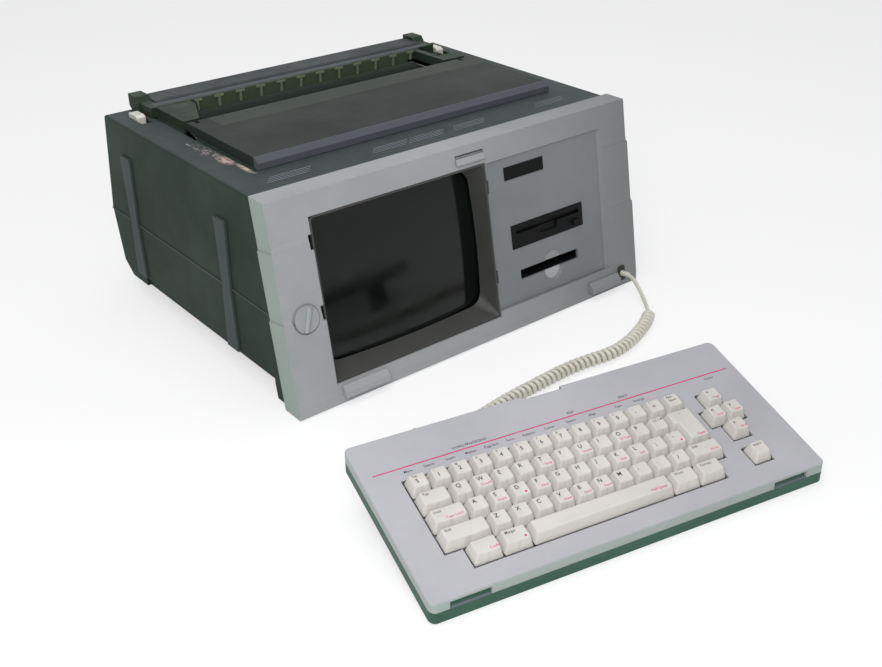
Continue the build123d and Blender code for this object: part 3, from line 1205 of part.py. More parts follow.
# ---------------------------------------------------------------- carriage, print wheel and ribbon
WHEEL_SHAFT = 2.0
with BuildPart() as carriage:
    with BuildSketch(across(MECH_X - CARRIAGE_HALF)):
        with BuildLine():
            Polyline(
                (CARRIAGE_FRONT, CARRIAGE_Z),
                (CARRIAGE_FRONT, CARRIAGE_TOP_Z),
                (CARRIAGE_REAR, CARRIAGE_TOP_Z),
                (CARRIAGE_REAR, WHEEL_Z - 12), (CARRIAGE_REAR - 10, CARRIAGE_Z),
                close=True,
            )
        make_face()
        with Locations(*RAILS):
            Circle(RAIL_RADIUS + RUN, mode=Mode.SUBTRACT)
    extrude(amount=2 * CARRIAGE_HALF)
    with BuildSketch(upright(CARRIAGE_REAR - SHADE)):
        with Locations((MECH_X, WHEEL_Z)):
            Circle(WHEEL_SHAFT)
    extrude(amount=-(WHEEL_Y + 2 - CARRIAGE_REAR))
    # arm that grips the belt
    with BuildSketch(level(BELT_Z - PULLEY_RADIUS + BELT_THICK / 2 + FIT)):
        box_sketch(MECH_X - 6, MECH_X + 6, BELT_Y, CARRIAGE_FRONT + SHADE)
    extrude(amount=4)
finish(carriage.part, "carriage")

PETALS = 24
with BuildPart() as print_wheel:
    with BuildSketch(upright(WHEEL_Y - 4)):
        with Locations((MECH_X, WHEEL_Z)):
            Circle(8)
            Circle(WHEEL_SHAFT + RUN, mode=Mode.SUBTRACT)
    extrude(amount=-5)
    with BuildSketch(upright(WHEEL_Y)):
        with Locations((MECH_X, WHEEL_Z)):
            Circle(15)
            with PolarLocations(0, PETALS):
                with Locations((WHEEL_RADIUS / 2 + 5, 0)):
                    Rectangle(WHEEL_RADIUS - 10, 1.7)
            Circle(WHEEL_SHAFT + RUN, mode=Mode.SUBTRACT)
    extrude(amount=-1)
finish(print_wheel.part, "print_wheel")

RIBBON_HALF, RIBBON_THICK = 40.0, 15.0
with BuildPart() as ribbon_cartridge:
    with BuildSketch(level(CARRIAGE_TOP_Z)):
        box_sketch(MECH_X - RIBBON_HALF, MECH_X + RIBBON_HALF, CARRIAGE_FRONT + 4, 258)
    extrude(amount=RIBBON_THICK)
    fillet(ribbon_cartridge.edges().filter_by(Axis.Z), 6)
    with BuildSketch(level(WHEEL_Z + 20)):
        for side in (-1, 1):
            near, far = MECH_X + side * 32, MECH_X + side * 37
            box_sketch(min(near, far), max(near, far), 250, WHEEL_Y + 1)
    extrude(amount=5)
finish(ribbon_cartridge.part, "ribbon_cartridge")

with BuildPart() as carriage_motor:
    with BuildSketch(upright(MECH_FRONT)):
        with Locations((MOTOR_X, MOTOR_Z)):
            Circle(17)
    extrude(amount=30)
    with BuildSketch(upright(MECH_FRONT)):
        with Locations((MOTOR_X, MOTOR_Z)):
            Circle(MOTOR_SHAFT)
    extrude(amount=-(BELT_Y + BELT_WIDE - MECH_FRONT))
finish(carriage_motor.part, "carriage_motor")

with BuildPart() as belt_pulley:
    with BuildSketch(upright(BELT_Y - 0.2)):
        with Locations((PULLEY_X[0], BELT_Z)):
            Circle(PULLEY_RADIUS - FIT)
            Circle(MOTOR_SHAFT + RUN, mode=Mode.SUBTRACT)
    extrude(amount=-BELT_WIDE - 0.2)
    with BuildSketch(upright(BELT_Y - 0.2)):
        with Locations((PULLEY_X[0], BELT_Z)):
            Circle(PULLEY_RADIUS + 2)
            Circle(MOTOR_SHAFT + RUN, mode=Mode.SUBTRACT)
    extrude(amount=1)
finish(belt_pulley.part, "belt_pulley")

with BuildPart() as carriage_belt:
    with BuildSketch(upright(BELT_Y + 0.3)):
        with Locations(((PULLEY_X[0] + PULLEY_X[1]) / 2, BELT_Z)):
            SlotCenterToCenter(PULLEY_X[1] - PULLEY_X[0], 2 * (PULLEY_RADIUS + BELT_THICK))
            SlotCenterToCenter(PULLEY_X[1] - PULLEY_X[0], 2 * PULLEY_RADIUS, mode=Mode.SUBTRACT)
    extrude(amount=-(BELT_WIDE - 0.6))
finish(carriage_belt.part, "carriage_belt")


# ---------------------------------------------------------------- levers beside the platen
def make_lever(side, name):
    """A white head in its slot, on an arm that swings about a stub shaft."""
    with BuildPart() as lever:
        middle = side * LEVER_X
        rear = LEVER_SLOT[1] - 1.5
        with BuildSketch(across(middle)):
            with BuildLine():
                Polyline(
                    (rear - LEVER_LONG, CASE_TOP_Z - 9), (rear - LEVER_LONG, CASE_TOP_Z + 2.5),
                    (rear - LEVER_LONG + 4, CASE_TOP_Z + 4.5),
                    (rear, CASE_TOP_Z + 4.5),
                    (rear, CASE_TOP_Z - 9),
                    close=True,
                )
            make_face()
        extrude(amount=LEVER_WIDE / 2, both=True)
        with BuildSketch(across(middle)):
            box_sketch(LEVER_PIVOT_Y - 4, LEVER_PIVOT_Y + 4, LEVER_PIVOT_Z, CASE_TOP_Z - 8)
            with Locations((LEVER_PIVOT_Y, LEVER_PIVOT_Z)):
                Circle(5.5)
                Circle(LEVER_PIN + RUN, mode=Mode.SUBTRACT)
        extrude(amount=2, both=True)
        fillet(lever.edges().filter_by(Axis.X).group_by(Axis.Z)[-1], 1.5)
    finish(lever.part, name)
    return lever


copy_control_lever = make_lever(-1, "copy_control_lever")
paper_release_lever = make_lever(1, "paper_release_lever")

# ---------------------------------------------------------------- electronics in the lower case
STANDOFF = 4.0
with BuildPart() as main_board:
    board_z = FLOOR_Z + STANDOFF
    with BuildSketch(level(board_z)):
        box_sketch(-160, 38, 196, 340)
    extrude(amount=BOARD)
    with BuildSketch(level(FLOOR_Z)):
        with Locations((-61, 268)):
            with GridLocations(180, 126, 2, 2):
                Circle(4)
    extrude(amount=STANDOFF + SHADE)
    with BuildSketch(level(board_z + BOARD - SHADE)):
        with Locations((-95, 300)):
            with GridLocations(44, 26, 3, 2):
                Rectangle(36, 14)
        with Locations((-20, 230)):
            with GridLocations(40, 24, 2, 2):
                Rectangle(20, 8)
    extrude(amount=4)
finish(main_board.part, "main_board")

SUPPLY = (48.0, 146.0, 215.0, 338.0)     # left, right, front, rear
SUPPLY_TALL, SHEET = 70.0, 1.5
with BuildPart() as power_supply:
    left, right, front, rear = SUPPLY
    with BuildSketch(level(FLOOR_Z)):
        box_sketch(*SUPPLY)
    extrude(amount=SHEET)
    with BuildSketch(level(FLOOR_Z)):
        box_sketch(left, left + SHEET, front, rear)
        box_sketch(right - SHEET, right, front, rear)
    extrude(amount=SUPPLY_TALL)
    # transformer, heat sink and three capacitors
    with BuildSketch(level(FLOOR_Z + SHEET - SHADE)):
        box_sketch(left + 8, left + 54, front + 10, front + 60)
    extrude(amount=44)
    with BuildSketch(level(FLOOR_Z + SHEET - SHADE)):
        with Locations((right - 30, (front + rear) / 2 + 20)):
            with GridLocations(6, 0, 6, 1):
                Rectangle(2, 50)
    extrude(amount=36)
    with BuildSketch(level(FLOOR_Z + SHEET - SHADE)):
        with Locations((left + 20, rear - 40), (left + 20, rear - 16), (left + 46, rear - 28)):
            Circle(9)
    extrude(amount=30)
finish(power_supply.part, "power_supply")

with BuildPart() as power_inlet:
    x, z, wide, tall = INLET
    with BuildSketch(lower_rear(x, z)):
        RectangleRounded(wide + 7, tall + 7, 2)
    extrude(amount=2)
    with BuildSketch(lower_rear(x, z)):
        Rectangle(wide - 2 * RUN, tall - 2 * RUN)
    extrude(amount=-24)
    with BuildSketch(lower_rear(x, z).offset(2)):
        RectangleRounded(wide - 3, tall - 3, 3)
    extrude(amount=-18, mode=Mode.SUBTRACT)
    with BuildSketch(lower_rear(x, z).offset(-16 - SHADE)):
        with Locations((-7, 1.5), (0, -2.5), (7, 1.5)):
            Rectangle(2, 4)
    extrude(amount=12)
finish(power_inlet.part, "power_inlet")

with BuildPart() as power_switch:
    x, z, wide, tall = SWITCH
    side_plane = Plane(lower_rear(x, z).origin, x_dir=(0, cos(rear_angle), -sin(rear_angle)), z_dir=(1, 0, 0))
    half = tall / 2 - 2 * FIT
    with BuildSketch(side_plane):
        with Locations((-3, 0)):
            Circle(half)
        with BuildLine():
            Polyline((-3, -half), (2.2, -half), (1.2, 0), (2.2, half), (-3, half), close=True)
        make_face()
    extrude(amount=(wide - 2 * FIT) / 2, both=True)
finish(power_switch.part, "power_switch")

# ---------------------------------------------------------------- keyboard shells
SHELL = 2.5
STACK_HOUSING, STACK_PLATE, STACK_CIRCUIT = -5.0, -9.6, -10.8     # below the keyboard's face
HOUSING = 14.0
CAP_FOOT, STEM_FOOT = -1.2, -6.2
board_u_mid = BOARD_WIDTH / 2
row_t = [HOME_ROW_T + KEY_PITCH * step for step in (2, 1, 0, -1, -2)]
field_left = FIRST_KEY_U - KEY_PITCH / 2
field_right = FIRST_KEY_U + 13.5 * KEY_PITCH
half_pitch = KEY_PITCH / 2
WELL_GAP = 0.9


def units(count):
    return count * KEY_PITCH


def run_of_keys(first_left, row, widths):
    """Keys side by side: middle u, middle t, width and height of each."""
    keys = []
    left = first_left
    for width in widths:
        keys.append((left + width / 2, row_t[row], width, KEY_PITCH))
        left += width
    return keys


tab_width, lock_width = units(1.5), units(1.75)
shift_width = units(2.25)
number_row = run_of_keys(field_left, 0, [KEY_PITCH] * 14)
upper_row = run_of_keys(field_left, 1, [tab_width] + [KEY_PITCH] * 11)
home_row = run_of_keys(field_left, 2, [lock_width] + [KEY_PITCH] * 11)
lower_row = run_of_keys(field_left + shift_width, 3, [KEY_PITCH] * 10)
left_shift = (field_left + shift_width / 2, row_t[3], shift_width, KEY_PITCH)
right_shift_left = field_left + shift_width + units(10)
right_shift = ((right_shift_left + field_right) / 2, row_t[3], field_right - right_shift_left, KEY_PITCH)
return_upper_left = field_left + tab_width + units(11)
return_lower_left = field_left + lock_width + units(11)
bottom_left = BOTTOM_ROW_LEFT
functions = run_of_keys(bottom_left, 4, [FUNCTION_KEY] * 2)
space_left = bottom_left + 2 * FUNCTION_KEY
space_right = space_left + SPACE_BAR
functions += run_of_keys(space_right, 4, [FUNCTION_KEY] * 2)
bottom_right = space_right + 2 * FUNCTION_KEY
cursor_u = BOARD_WIDTH - CURSOR_SET_IN
insert_key = (cursor_u, INSERT_T, KEY_PITCH, KEY_PITCH)
cursor = [
    (cursor_u, CURSOR_T + KEY_PITCH, KEY_PITCH, KEY_PITCH),
    (cursor_u - half_pitch, CURSOR_T, KEY_PITCH, KEY_PITCH),
    (cursor_u + half_pitch, CURSOR_T, KEY_PITCH, KEY_PITCH),
    (cursor_u, CURSOR_T - KEY_PITCH, KEY_PITCH, KEY_PITCH),
]


def key_wells():
    """Openings in the upper shell that the keys stand in."""
    rear = row_t[0] + half_pitch + WELL_GAP
    front = row_t[3] - half_pitch - WELL_GAP
    box_sketch(field_left - WELL_GAP, field_right + WELL_GAP, front, rear)
    box_sketch(bottom_left - WELL_GAP, bottom_right + WELL_GAP, row_t[4] - half_pitch - WELL_GAP, front + 1)
    for u, t, wide, tall in cursor + [insert_key]:
        with Locations((u, t)):
            Rectangle(wide + 2 * WELL_GAP, tall + 2 * WELL_GAP)


def board_plan(inset=0.0):
    """The keyboard's plan, drawn in a sketch on one of its level planes."""
    with Locations((BOARD_WIDTH / 2, BOARD_DEPTH / 2)):
        RectangleRounded(BOARD_WIDTH - 2 * inset, BOARD_DEPTH - 2 * inset, BOARD_CORNER - inset)


def trim(high, low):
    """Keep what lies between two planes parallel to the keyboard's top."""
    split(bisect_by=board_face(high), keep=Keep.BOTTOM)
    split(bisect_by=board_face(low), keep=Keep.TOP)


BOARD_TALL = BOARD_REAR_Z + 2 * OVER
SEAM_UP = -SHELL_SPLIT * cos(BOARD_SLOPE)
UNDERSIDE = -BOARD_THICK * cos(BOARD_SLOPE)
LID = 2.0                   # roof of the front pockets
NOTCH_DEEP, NOTCH_DROP = 4.0, 9.0
LINING = 2.0

# upper shell
with BuildPart() as keyboard_top:
    with BuildSketch(board_level(-OVER)):
        board_plan()
    extrude(amount=BOARD_TALL)
    trim(0, SEAM_UP)
    top_edges = keyboard_top.faces().sort_by(Axis(board_face().origin, board_face().z_dir))[-1].edges()
    chamfer(top_edges, 0.8)
    with BuildPart(mode=Mode.SUBTRACT):
        with BuildSketch(board_level(-OVER)):
            board_plan(SHELL)
        extrude(amount=BOARD_TALL)
        trim(-SHELL, SEAM_UP - 1)
    # walls round the front pockets and the latch's notch
    with BuildPart():
        with BuildSketch(board_level(-OVER)):
            for left, right in CATCH_POCKETS:
                box_sketch(left - LINING, right + LINING, SHELL - SHADE, POCKET_DEEP + LINING)
            box_sketch(
                LATCH_NOTCH[0] - LINING,
                LATCH_NOTCH[1] + LINING,
                BOARD_DEPTH - NOTCH_DEEP - LINING,
                BOARD_DEPTH - SHELL + SHADE,
            )
        extrude(amount=BOARD_TALL)
        trim(-LID, SEAM_UP)
    with BuildPart(mode=Mode.SUBTRACT):
        with BuildSketch(board_level(-OVER)):
            for left, right in CATCH_POCKETS:
                box_sketch(left, right, -1, POCKET_DEEP)
        extrude(amount=BOARD_TALL)
        trim(-LID, SEAM_UP - 1)
    with BuildPart(mode=Mode.SUBTRACT):
        with BuildSketch(board_level(-OVER)):
            box_sketch(LATCH_NOTCH[0], LATCH_NOTCH[1], BOARD_DEPTH - NOTCH_DEEP, BOARD_DEPTH + 1)
        extrude(amount=BOARD_TALL)
        trim(5, SEAM_UP - 1)
    with BuildSketch(board_face(1)):
        key_wells()
    extrude(amount=-SHELL - 3, mode=Mode.SUBTRACT)
finish(keyboard_top.part, "keyboard_top")

# lower shell, with its leg pockets
FLOOR_UP = UNDERSIDE + SHELL
leg_middles = (LEG_SET_SIDE, BOARD_WIDTH - LEG_SET_SIDE)
LEG_AXIS = (BOARD_DEPTH - LEG_SET_IN, board_top_z(BOARD_DEPTH - LEG_SET_IN) - BOARD_THICK + 2.5)
LEG_POCKET = (LEG_AXIS[0] - 43.0, LEG_AXIS[0] + 4.0)
LEG_POCKET_UP = UNDERSIDE + 4.6
BOARD_GLAND_RADIUS = 3.3
gland_back = BOARD_DEPTH
gland_z = BOARD_REAR_Z - SHELL_SPLIT - 4.8
with BuildPart() as keyboard_base:
    with BuildSketch(board_level(-OVER)):
        board_plan()
    extrude(amount=BOARD_TALL)
    trim(SEAM_UP, UNDERSIDE)
    with BuildPart(mode=Mode.SUBTRACT):
        with BuildSketch(board_level(-OVER)):
            board_plan(SHELL)
        extrude(amount=BOARD_TALL)
        trim(SEAM_UP + 1, FLOOR_UP)
    # floor and sloping back of each front pocket
    with BuildPart():
        with BuildSketch(board_level(-OVER)):
            for left, right in CATCH_POCKETS:
                box_sketch(left - LINING, right + LINING, SHELL - SHADE, POCKET_DEEP + LINING)
        extrude(amount=BOARD_TALL)
        trim(SEAM_UP, FLOOR_UP - SHADE)
    for left, right in CATCH_POCKETS:
        with BuildSketch(board_across(left + FIT)):
            with BuildLine():
                Polyline(
                    (2.0, board_top_z(2.0) - SHELL_SPLIT - 0.5),
                    (2.0, board_top_z(2.0) - SHELL_SPLIT + 0.6),
                    (5.5, board_top_z(5.5) - LID - 0.8),
                    (POCKET_DEEP - FIT, board_top_z(POCKET_DEEP) - LID - 0.8),
                    (POCKET_DEEP - FIT, board_top_z(POCKET_DEEP) - SHELL_SPLIT - 0.5),
                    close=True,
                )
            make_face()
        extrude(amount=right - left - 2 * FIT)
    # posts under the circuit board
    with BuildSketch(board_face(FLOOR_UP - SHADE)):
        with Locations((185, 68)):
            with GridLocations(150, 90, 3, 2):
                Circle(3)
    extrude(amount=STACK_CIRCUIT - 1.4 - FLOOR_UP + SHADE)
    # leg pockets with the bores for the legs' pins
    with BuildPart():
        with BuildSketch(board_level(-OVER)):
            for middle in leg_middles:
                half = LEG_WIDE / 2 + FIT
                box_sketch(middle - half - 3, middle + half + 3, LEG_POCKET[0] - 2, LEG_POCKET[1] + 2)
        extrude(amount=BOARD_TALL)
        trim(LEG_POCKET_UP + 1, UNDERSIDE)
    with BuildPart(mode=Mode.SUBTRACT):
        with BuildSketch(board_level(-OVER)):
            for middle in leg_middles:
                half = LEG_WIDE / 2 + FIT
                box_sketch(middle - half, middle + half, *LEG_POCKET)
        extrude(amount=BOARD_TALL)
        trim(LEG_POCKET_UP, UNDERSIDE - 1)
    for middle in leg_middles:
        with BuildSketch(board_across(middle)):
            with Locations(LEG_AXIS):
                Circle(LEG_PIN_RADIUS + RUN)
        extrude(amount=LEG_WIDE / 2 + FIT + 2.2, both=True, mode=Mode.SUBTRACT)
    # hole for the lead's bush in the rear wall
    gland_plane = Plane(
        board_across(BOARD_GLAND_U).from_local_coords((BOARD_DEPTH + 1, gland_z, 0)),
        x_dir=board_across(0).z_dir,
        z_dir=board_across(0).x_dir,
    )
    with BuildSketch(gland_plane):
        Circle(BOARD_GLAND_RADIUS + RUN)
    extrude(amount=-SHELL - 2, mode=Mode.SUBTRACT)
finish(keyboard_base.part, "keyboard_base")

with BuildPart() as keyboard_cord_gland:
    with BuildSketch(gland_plane.offset(-1)):
        Circle(BOARD_GLAND_RADIUS + 1.1)
    extrude(amount=1.4)
    with BuildSketch(gland_plane.offset(-1)):
        Circle(BOARD_GLAND_RADIUS)
    extrude(amount=-SHELL - 1.5)
finish(keyboard_cord_gland.part, "keyboard_cord_gland")


def make_leg(middle, name):
    """One flat leg that folds forward into its pocket."""
    back, z = LEG_AXIS
    foot_back = back + z * tan(radians(14))
    lean_x, lean_z = sin(radians(14)), -cos(radians(14))
    half = LEG_THICK / 2
    with BuildPart() as leg:
        with BuildSketch(board_across(middle)):
            with Locations(LEG_AXIS):
                Circle(half)
            with BuildLine():
                Polyline(
                    (back + lean_z * half, z - lean_x * half),
                    (back - lean_z * half, z + lean_x * half),
                    (foot_back + half / cos(radians(14)), 0),
                    (foot_back - half / cos(radians(14)), 0),
                    close=True,
                )
            make_face()
        extrude(amount=LEG_WIDE / 2, both=True)
        with BuildSketch(board_across(middle)):
            with Locations(LEG_AXIS):
                Circle(LEG_PIN_RADIUS)
        extrude(amount=LEG_WIDE / 2 + 2, both=True)
    finish(leg.part, name)
    return leg


left_leg = make_leg(leg_middles[0], "left_leg")
right_leg = make_leg(leg_middles[1], "right_leg")

with BuildPart() as keyboard_feet:
    with BuildSketch(board_level(0)):
        with Locations((30, 12), (BOARD_WIDTH - 30, 12)):
            Circle(6)
    extrude(amount=OVER)
    split(bisect_by=board_face(UNDERSIDE), keep=Keep.BOTTOM)
finish(keyboard_feet.part, "keyboard_feet")

# ---------------------------------------------------------------- keyboard's switches
STEM = 4.0
PLATE_FIELD = (22.0, BOARD_WIDTH - 26.6, 15.0, 122.0)
key_groups = {
    "number_row_keys": number_row,
    "upper_row_keys": upper_row,
    "home_row_keys": home_row,
    "lower_row_keys": lower_row,
    "shift_keys": [left_shift, right_shift],
    "space_bar": [((space_left + space_right) / 2, row_t[4], SPACE_BAR, KEY_PITCH)],
    "function_keys": functions + [insert_key],
    "cursor_keys": cursor,
}
return_stem = ((return_lower_left + field_right) / 2, row_t[2])
key_places = [return_stem]
for keys in key_groups.values():
    key_places += [(u, t) for u, t, wide, tall in keys]

with BuildPart() as switch_plate:
    with BuildSketch(board_face(STACK_CIRCUIT)):
        box_sketch(*PLATE_FIELD)
    extrude(amount=STACK_PLATE - STACK_CIRCUIT)
    with BuildSketch(board_face(STACK_PLATE - SHADE)):
        with Locations(*key_places):
            Rectangle(HOUSING, HOUSING)
            Rectangle(STEM + 2 * FIT, STEM + 2 * FIT, mode=Mode.SUBTRACT)
    extrude(amount=STACK_HOUSING - STACK_PLATE + SHADE)
finish(switch_plate.part, "switch_plate")

with BuildPart() as keyboard_circuit:
    with BuildSketch(board_face(STACK_CIRCUIT)):
        box_sketch(*PLATE_FIELD)
    extrude(amount=-1.4)
finish(keyboard_circuit.part, "keyboard_circuit")


# ---------------------------------------------------------------- keys
def inset_corners(outline, inset):
    """Corners of a right-angled outline, moved in from its sides: each corner says which way."""
    return [(u + du * inset, t + dt * inset) for u, t, du, dt in outline]


CAP_LEAN = 0.8              # the cap's top stands this much further back


def cap(outline, dish_u, dish_t, half_top):
    """One tapered cap with a hollowed top, over its stem's place."""
    foot = inset_corners(outline, KEY_GAP / 2)
    head = [(u, t + CAP_LEAN) for u, t in inset_corners(outline, KEY_GAP / 2 + KEY_TAPER)]
    with BuildPart() as key:
        with BuildSketch(board_face(CAP_FOOT)) as lower:
            with BuildLine():
                Polyline(foot, close=True)
            make_face()
            fillet(lower.vertices(), 1.0)
        with BuildSketch(board_face(KEY_HEIGHT)) as upper:
            with BuildLine():
                Polyline(head, close=True)
            make_face()
            fillet(upper.vertices(), 1.8)
        loft(ruled=True)
        if half_top:
            dish_radius = (half_top**2 + KEY_DISH**2) / (2 * KEY_DISH)
            dish_plane = Plane(board_face().origin, x_dir=board_face().x_dir, z_dir=board_face().y_dir)
            with BuildSketch(dish_plane.offset(dish_t - 40)):
                with Locations((dish_u, -(KEY_HEIGHT - KEY_DISH + dish_radius))):
                    Circle(dish_radius)
            extrude(amount=80, mode=Mode.SUBTRACT)
    add(key.part)


def box_outline(u, t, wide, tall):
    left, right, low, high = u - wide / 2, u + wide / 2, t - tall / 2, t + tall / 2
    return [(left, low, 1, 1), (right, low, -1, 1), (right, high, -1, -1), (left, high, 1, -1)]


def stems(places):
    with BuildSketch(board_face(CAP_FOOT + SHADE)) as feet:
        with Locations(*places):
            Rectangle(STEM, STEM)
    extrude(feet.sketch, amount=STEM_FOOT - CAP_FOOT - SHADE)


for name, keys in key_groups.items():
    with BuildPart() as group:
        for u, t, wide, tall in keys:
            half_top = (wide - KEY_GAP) / 2 - KEY_TAPER
            cap(box_outline(u, t, wide, tall), u, t, 0 if name == "space_bar" else half_top)
        stems([(u, t) for u, t, wide, tall in keys])
    finish(group.part, name)

with BuildPart() as return_key:
    left, wider_left, right = return_lower_left, return_upper_left, field_right
    low, step, high = row_t[2] - half_pitch, row_t[1] - half_pitch, row_t[1] + half_pitch
    outline = [
        (left, low, 1, 1),
        (right, low, -1, 1),
        (right, high, -1, -1),
        (wider_left, high, 1, -1),
        (wider_left, step, 1, 1),
        (left, step, 1, 1),
    ]
    cap(outline, (left + right) / 2, step, (right - left - KEY_GAP) / 2 - KEY_TAPER)
    stems([return_stem])
finish(return_key.part, "return_key")

# ---------------------------------------------------------------- the curly lead
# Each end leaves its bush squarely. Between them the route lies on the desk and climbs to the
# keyboard's rear wall; the curls run between two of its stops.
STUB = 14.0
COIL_FIRST, COIL_LAST = 2, 16
LEAD_STOPS = (
    (197.0, -33.0, 16.0),
    (186.0, -53.0, 10.5),
    (172.0, -74.0, 7.6),
    (153.0, -86.0, 7.6),
    (131.0, -95.5, 7.6),
    (110.0, -103.0, 7.6),
    (90.0, -107.0, 7.6),
    (72.0, -107.5, 7.6),
    (54.0, -104.5, 7.6),
    (35.0, -101.8, 7.6),
    (15.0, -101.2, 7.6),
    (-5.0, -101.8, 7.6),
    (-26.0, -103.0, 7.6),
    (-46.0, -104.0, 7.6),
    (-66.0, -105.5, 7.6),
    (-86.0, -108.0, 7.6),
    (-112.0, -112.0, 7.6),
    (-132.0, -110.0, 7.2),
    (-152.0, -104.0, 7.6),
    (-172.0, -104.0, 20.0),
    (-189.0, -115.0, 36.0),
)

bush = face(2 * TIER_STEP + GLAND_FLANGE)
lead_start = bush.from_local_coords(Vector(GLAND_X, GLAND_S, 0))
start_way = bush.z_dir
lead_end = gland_plane.origin + gland_plane.z_dir * (1.4 - 1)
end_way = -gland_plane.z_dir
stops = [Vector(UNIT_X + x, UNIT_Y + y, z) for x, y, z in LEAD_STOPS]
ends = (lead_start + start_way * STUB, lead_end - end_way * STUB)
route = Spline([ends[0], *stops, ends[1]], tangents=[start_way, end_way])


def along_route(stop):
    """Length of the route up to one of its stops."""
    return route.length * route.param_at_point(stop)


coil_start, coil_end = along_route(stops[COIL_FIRST]), along_route(stops[COIL_LAST])
curls = round((coil_end - coil_start) / COIL_PITCH)
pitch = (coil_end - coil_start) / curls


def lead_point(along):
    """Middle of the lead where the route has run a given length."""
    middle = route.position_at(along, position_mode=PositionMode.LENGTH)
    forward = route.tangent_at(along, position_mode=PositionMode.LENGTH)
    ramp = min(along - coil_start, coil_end - along) / pitch
    if ramp <= 0:
        return middle
    ramp = min(ramp, 1.0)
    radius = (COIL_RADIUS - LEAD_RADIUS) * ramp * ramp * (3 - 2 * ramp)
    turn = 2 * pi * (along - coil_start) / pitch
    side = Vector(-forward.Y, forward.X, 0).normalized()
    return middle + (side * cos(turn) + forward.cross(side) * sin(turn)) * radius


def lead_way(along):
    step = 0.02
    return (lead_point(min(along + step, route.length)) - lead_point(max(along - step, 0))).normalized()


def biarc(start, start_dir, end, end_dir):
    """Two arcs, tangent to each other, between two points with given directions."""
    chord = end - start
    if (chord.normalized() - start_dir).length < 1e-4 and (chord.normalized() - end_dir).length < 1e-4:
        Line(start, end)
        return
    both = start_dir + end_dir
    bend = 2 * (1 - start_dir.dot(end_dir))
    if bend < 1e-9:
        reach = chord.dot(chord) / (4 * chord.dot(end_dir))
    else:
        reach = (sqrt(chord.dot(both) ** 2 + bend * chord.dot(chord)) - chord.dot(both)) / bend
    near, far = start + start_dir * reach, end - end_dir * reach
    joint = (near + far) * 0.5
    TangentArc(start, joint, tangent=start_dir)
    TangentArc(joint, end, tangent=(far - near).normalized())


LEAD_STEP = 14.0
head_steps = ceil(coil_start / LEAD_STEP)
tail_steps = ceil((route.length - coil_end) / LEAD_STEP)
places = [coil_start * step / head_steps for step in range(head_steps)]
places += [coil_start + pitch * step / 4 for step in range(4)]
places += [coil_start + pitch * step / 2 for step in range(2, 2 * curls - 2)]
places += [coil_end - pitch * step / 4 for step in range(4, 0, -1)]
places += [coil_end + (route.length - coil_end) * step / tail_steps for step in range(tail_steps + 1)]
points = [lead_point(place) for place in places]
ways = [start_way] + [lead_way(place) for place in places[1:-1]] + [end_way]

with BuildPart() as keyboard_cord:
    with BuildLine() as lead_path:
        Line(lead_start, points[0])
        for near, near_way, far, far_way in zip(points, ways, points[1:], ways[1:]):
            biarc(near, near_way, far, far_way)
        Line(points[-1], lead_end)
    with BuildSketch(Plane(origin=lead_start, z_dir=start_way)):
        Circle(LEAD_RADIUS)
    sweep(path=lead_path.wires()[0])
finish(keyboard_cord.part, "keyboard_cord")

samples = []
for edge in lead_path.wires()[0].edges():
    count = max(2, ceil(edge.length))
    samples += [edge.position_at(step / count) for step in range(count)]
flat = [(point.X, point.Y, point.Z) for point in samples]
least = min(
    hypot(one[0] - two[0], one[1] - two[1], one[2] - two[2])
    for index, one in enumerate(flat)
    for two in flat[index + 14:]
)
lead_length = lead_path.wires()[0].length
print(f"lead: {lead_length:.0f} mm long, {curls} curls, pitch {pitch:.2f} mm, tube radius {LEAD_RADIUS} mm")
print(f"lead: least gap to itself {least - 2 * LEAD_RADIUS:.2f} mm")

whole = Compound(children=made)
limits = whole.bounding_box()
print(f"parts: {len(made)}; box {limits.min} to {limits.max}")
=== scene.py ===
from math import atan2, cos, hypot, pi, radians, sin, sqrt

import bmesh
import bpy
from mathutils import Matrix, Vector


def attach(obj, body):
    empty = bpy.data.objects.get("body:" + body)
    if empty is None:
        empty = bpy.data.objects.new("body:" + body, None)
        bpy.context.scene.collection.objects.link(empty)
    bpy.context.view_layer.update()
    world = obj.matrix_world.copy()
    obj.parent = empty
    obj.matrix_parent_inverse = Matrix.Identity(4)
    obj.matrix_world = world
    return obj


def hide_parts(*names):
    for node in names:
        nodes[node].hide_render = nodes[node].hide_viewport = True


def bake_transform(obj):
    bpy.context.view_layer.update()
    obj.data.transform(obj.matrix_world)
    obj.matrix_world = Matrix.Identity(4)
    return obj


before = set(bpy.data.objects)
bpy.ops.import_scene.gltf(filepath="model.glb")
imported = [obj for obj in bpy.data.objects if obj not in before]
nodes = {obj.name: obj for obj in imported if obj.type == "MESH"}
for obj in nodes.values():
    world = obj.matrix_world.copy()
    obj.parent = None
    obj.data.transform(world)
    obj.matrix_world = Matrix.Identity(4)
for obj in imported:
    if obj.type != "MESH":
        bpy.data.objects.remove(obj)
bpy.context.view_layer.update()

# ---------------------------------------------------------------- camera
# It stands to the left of the set, 1.1 m from its middle, and looks down on it at 29 degrees, as the
# photograph was taken. The figures were fitted to the corners of the case and keyboard.
scene = bpy.context.scene
camera_data = bpy.data.cameras.new("camera")
camera_data.sensor_width = 36.0
camera_data.lens = 45.41
camera = bpy.data.objects.new("camera", camera_data)
camera.matrix_world = Matrix((
    (0.777189, 0.316441, -0.543915, -0.634695),
    (-0.629158, 0.374592, -0.681059, -0.774600),
    (-0.011769, 0.871520, 0.490220, 0.583770),
    (0.0, 0.0, 0.0, 1.0),
))
scene.collection.objects.link(camera)
scene.camera = camera
scene.view_settings.view_transform = "Standard"

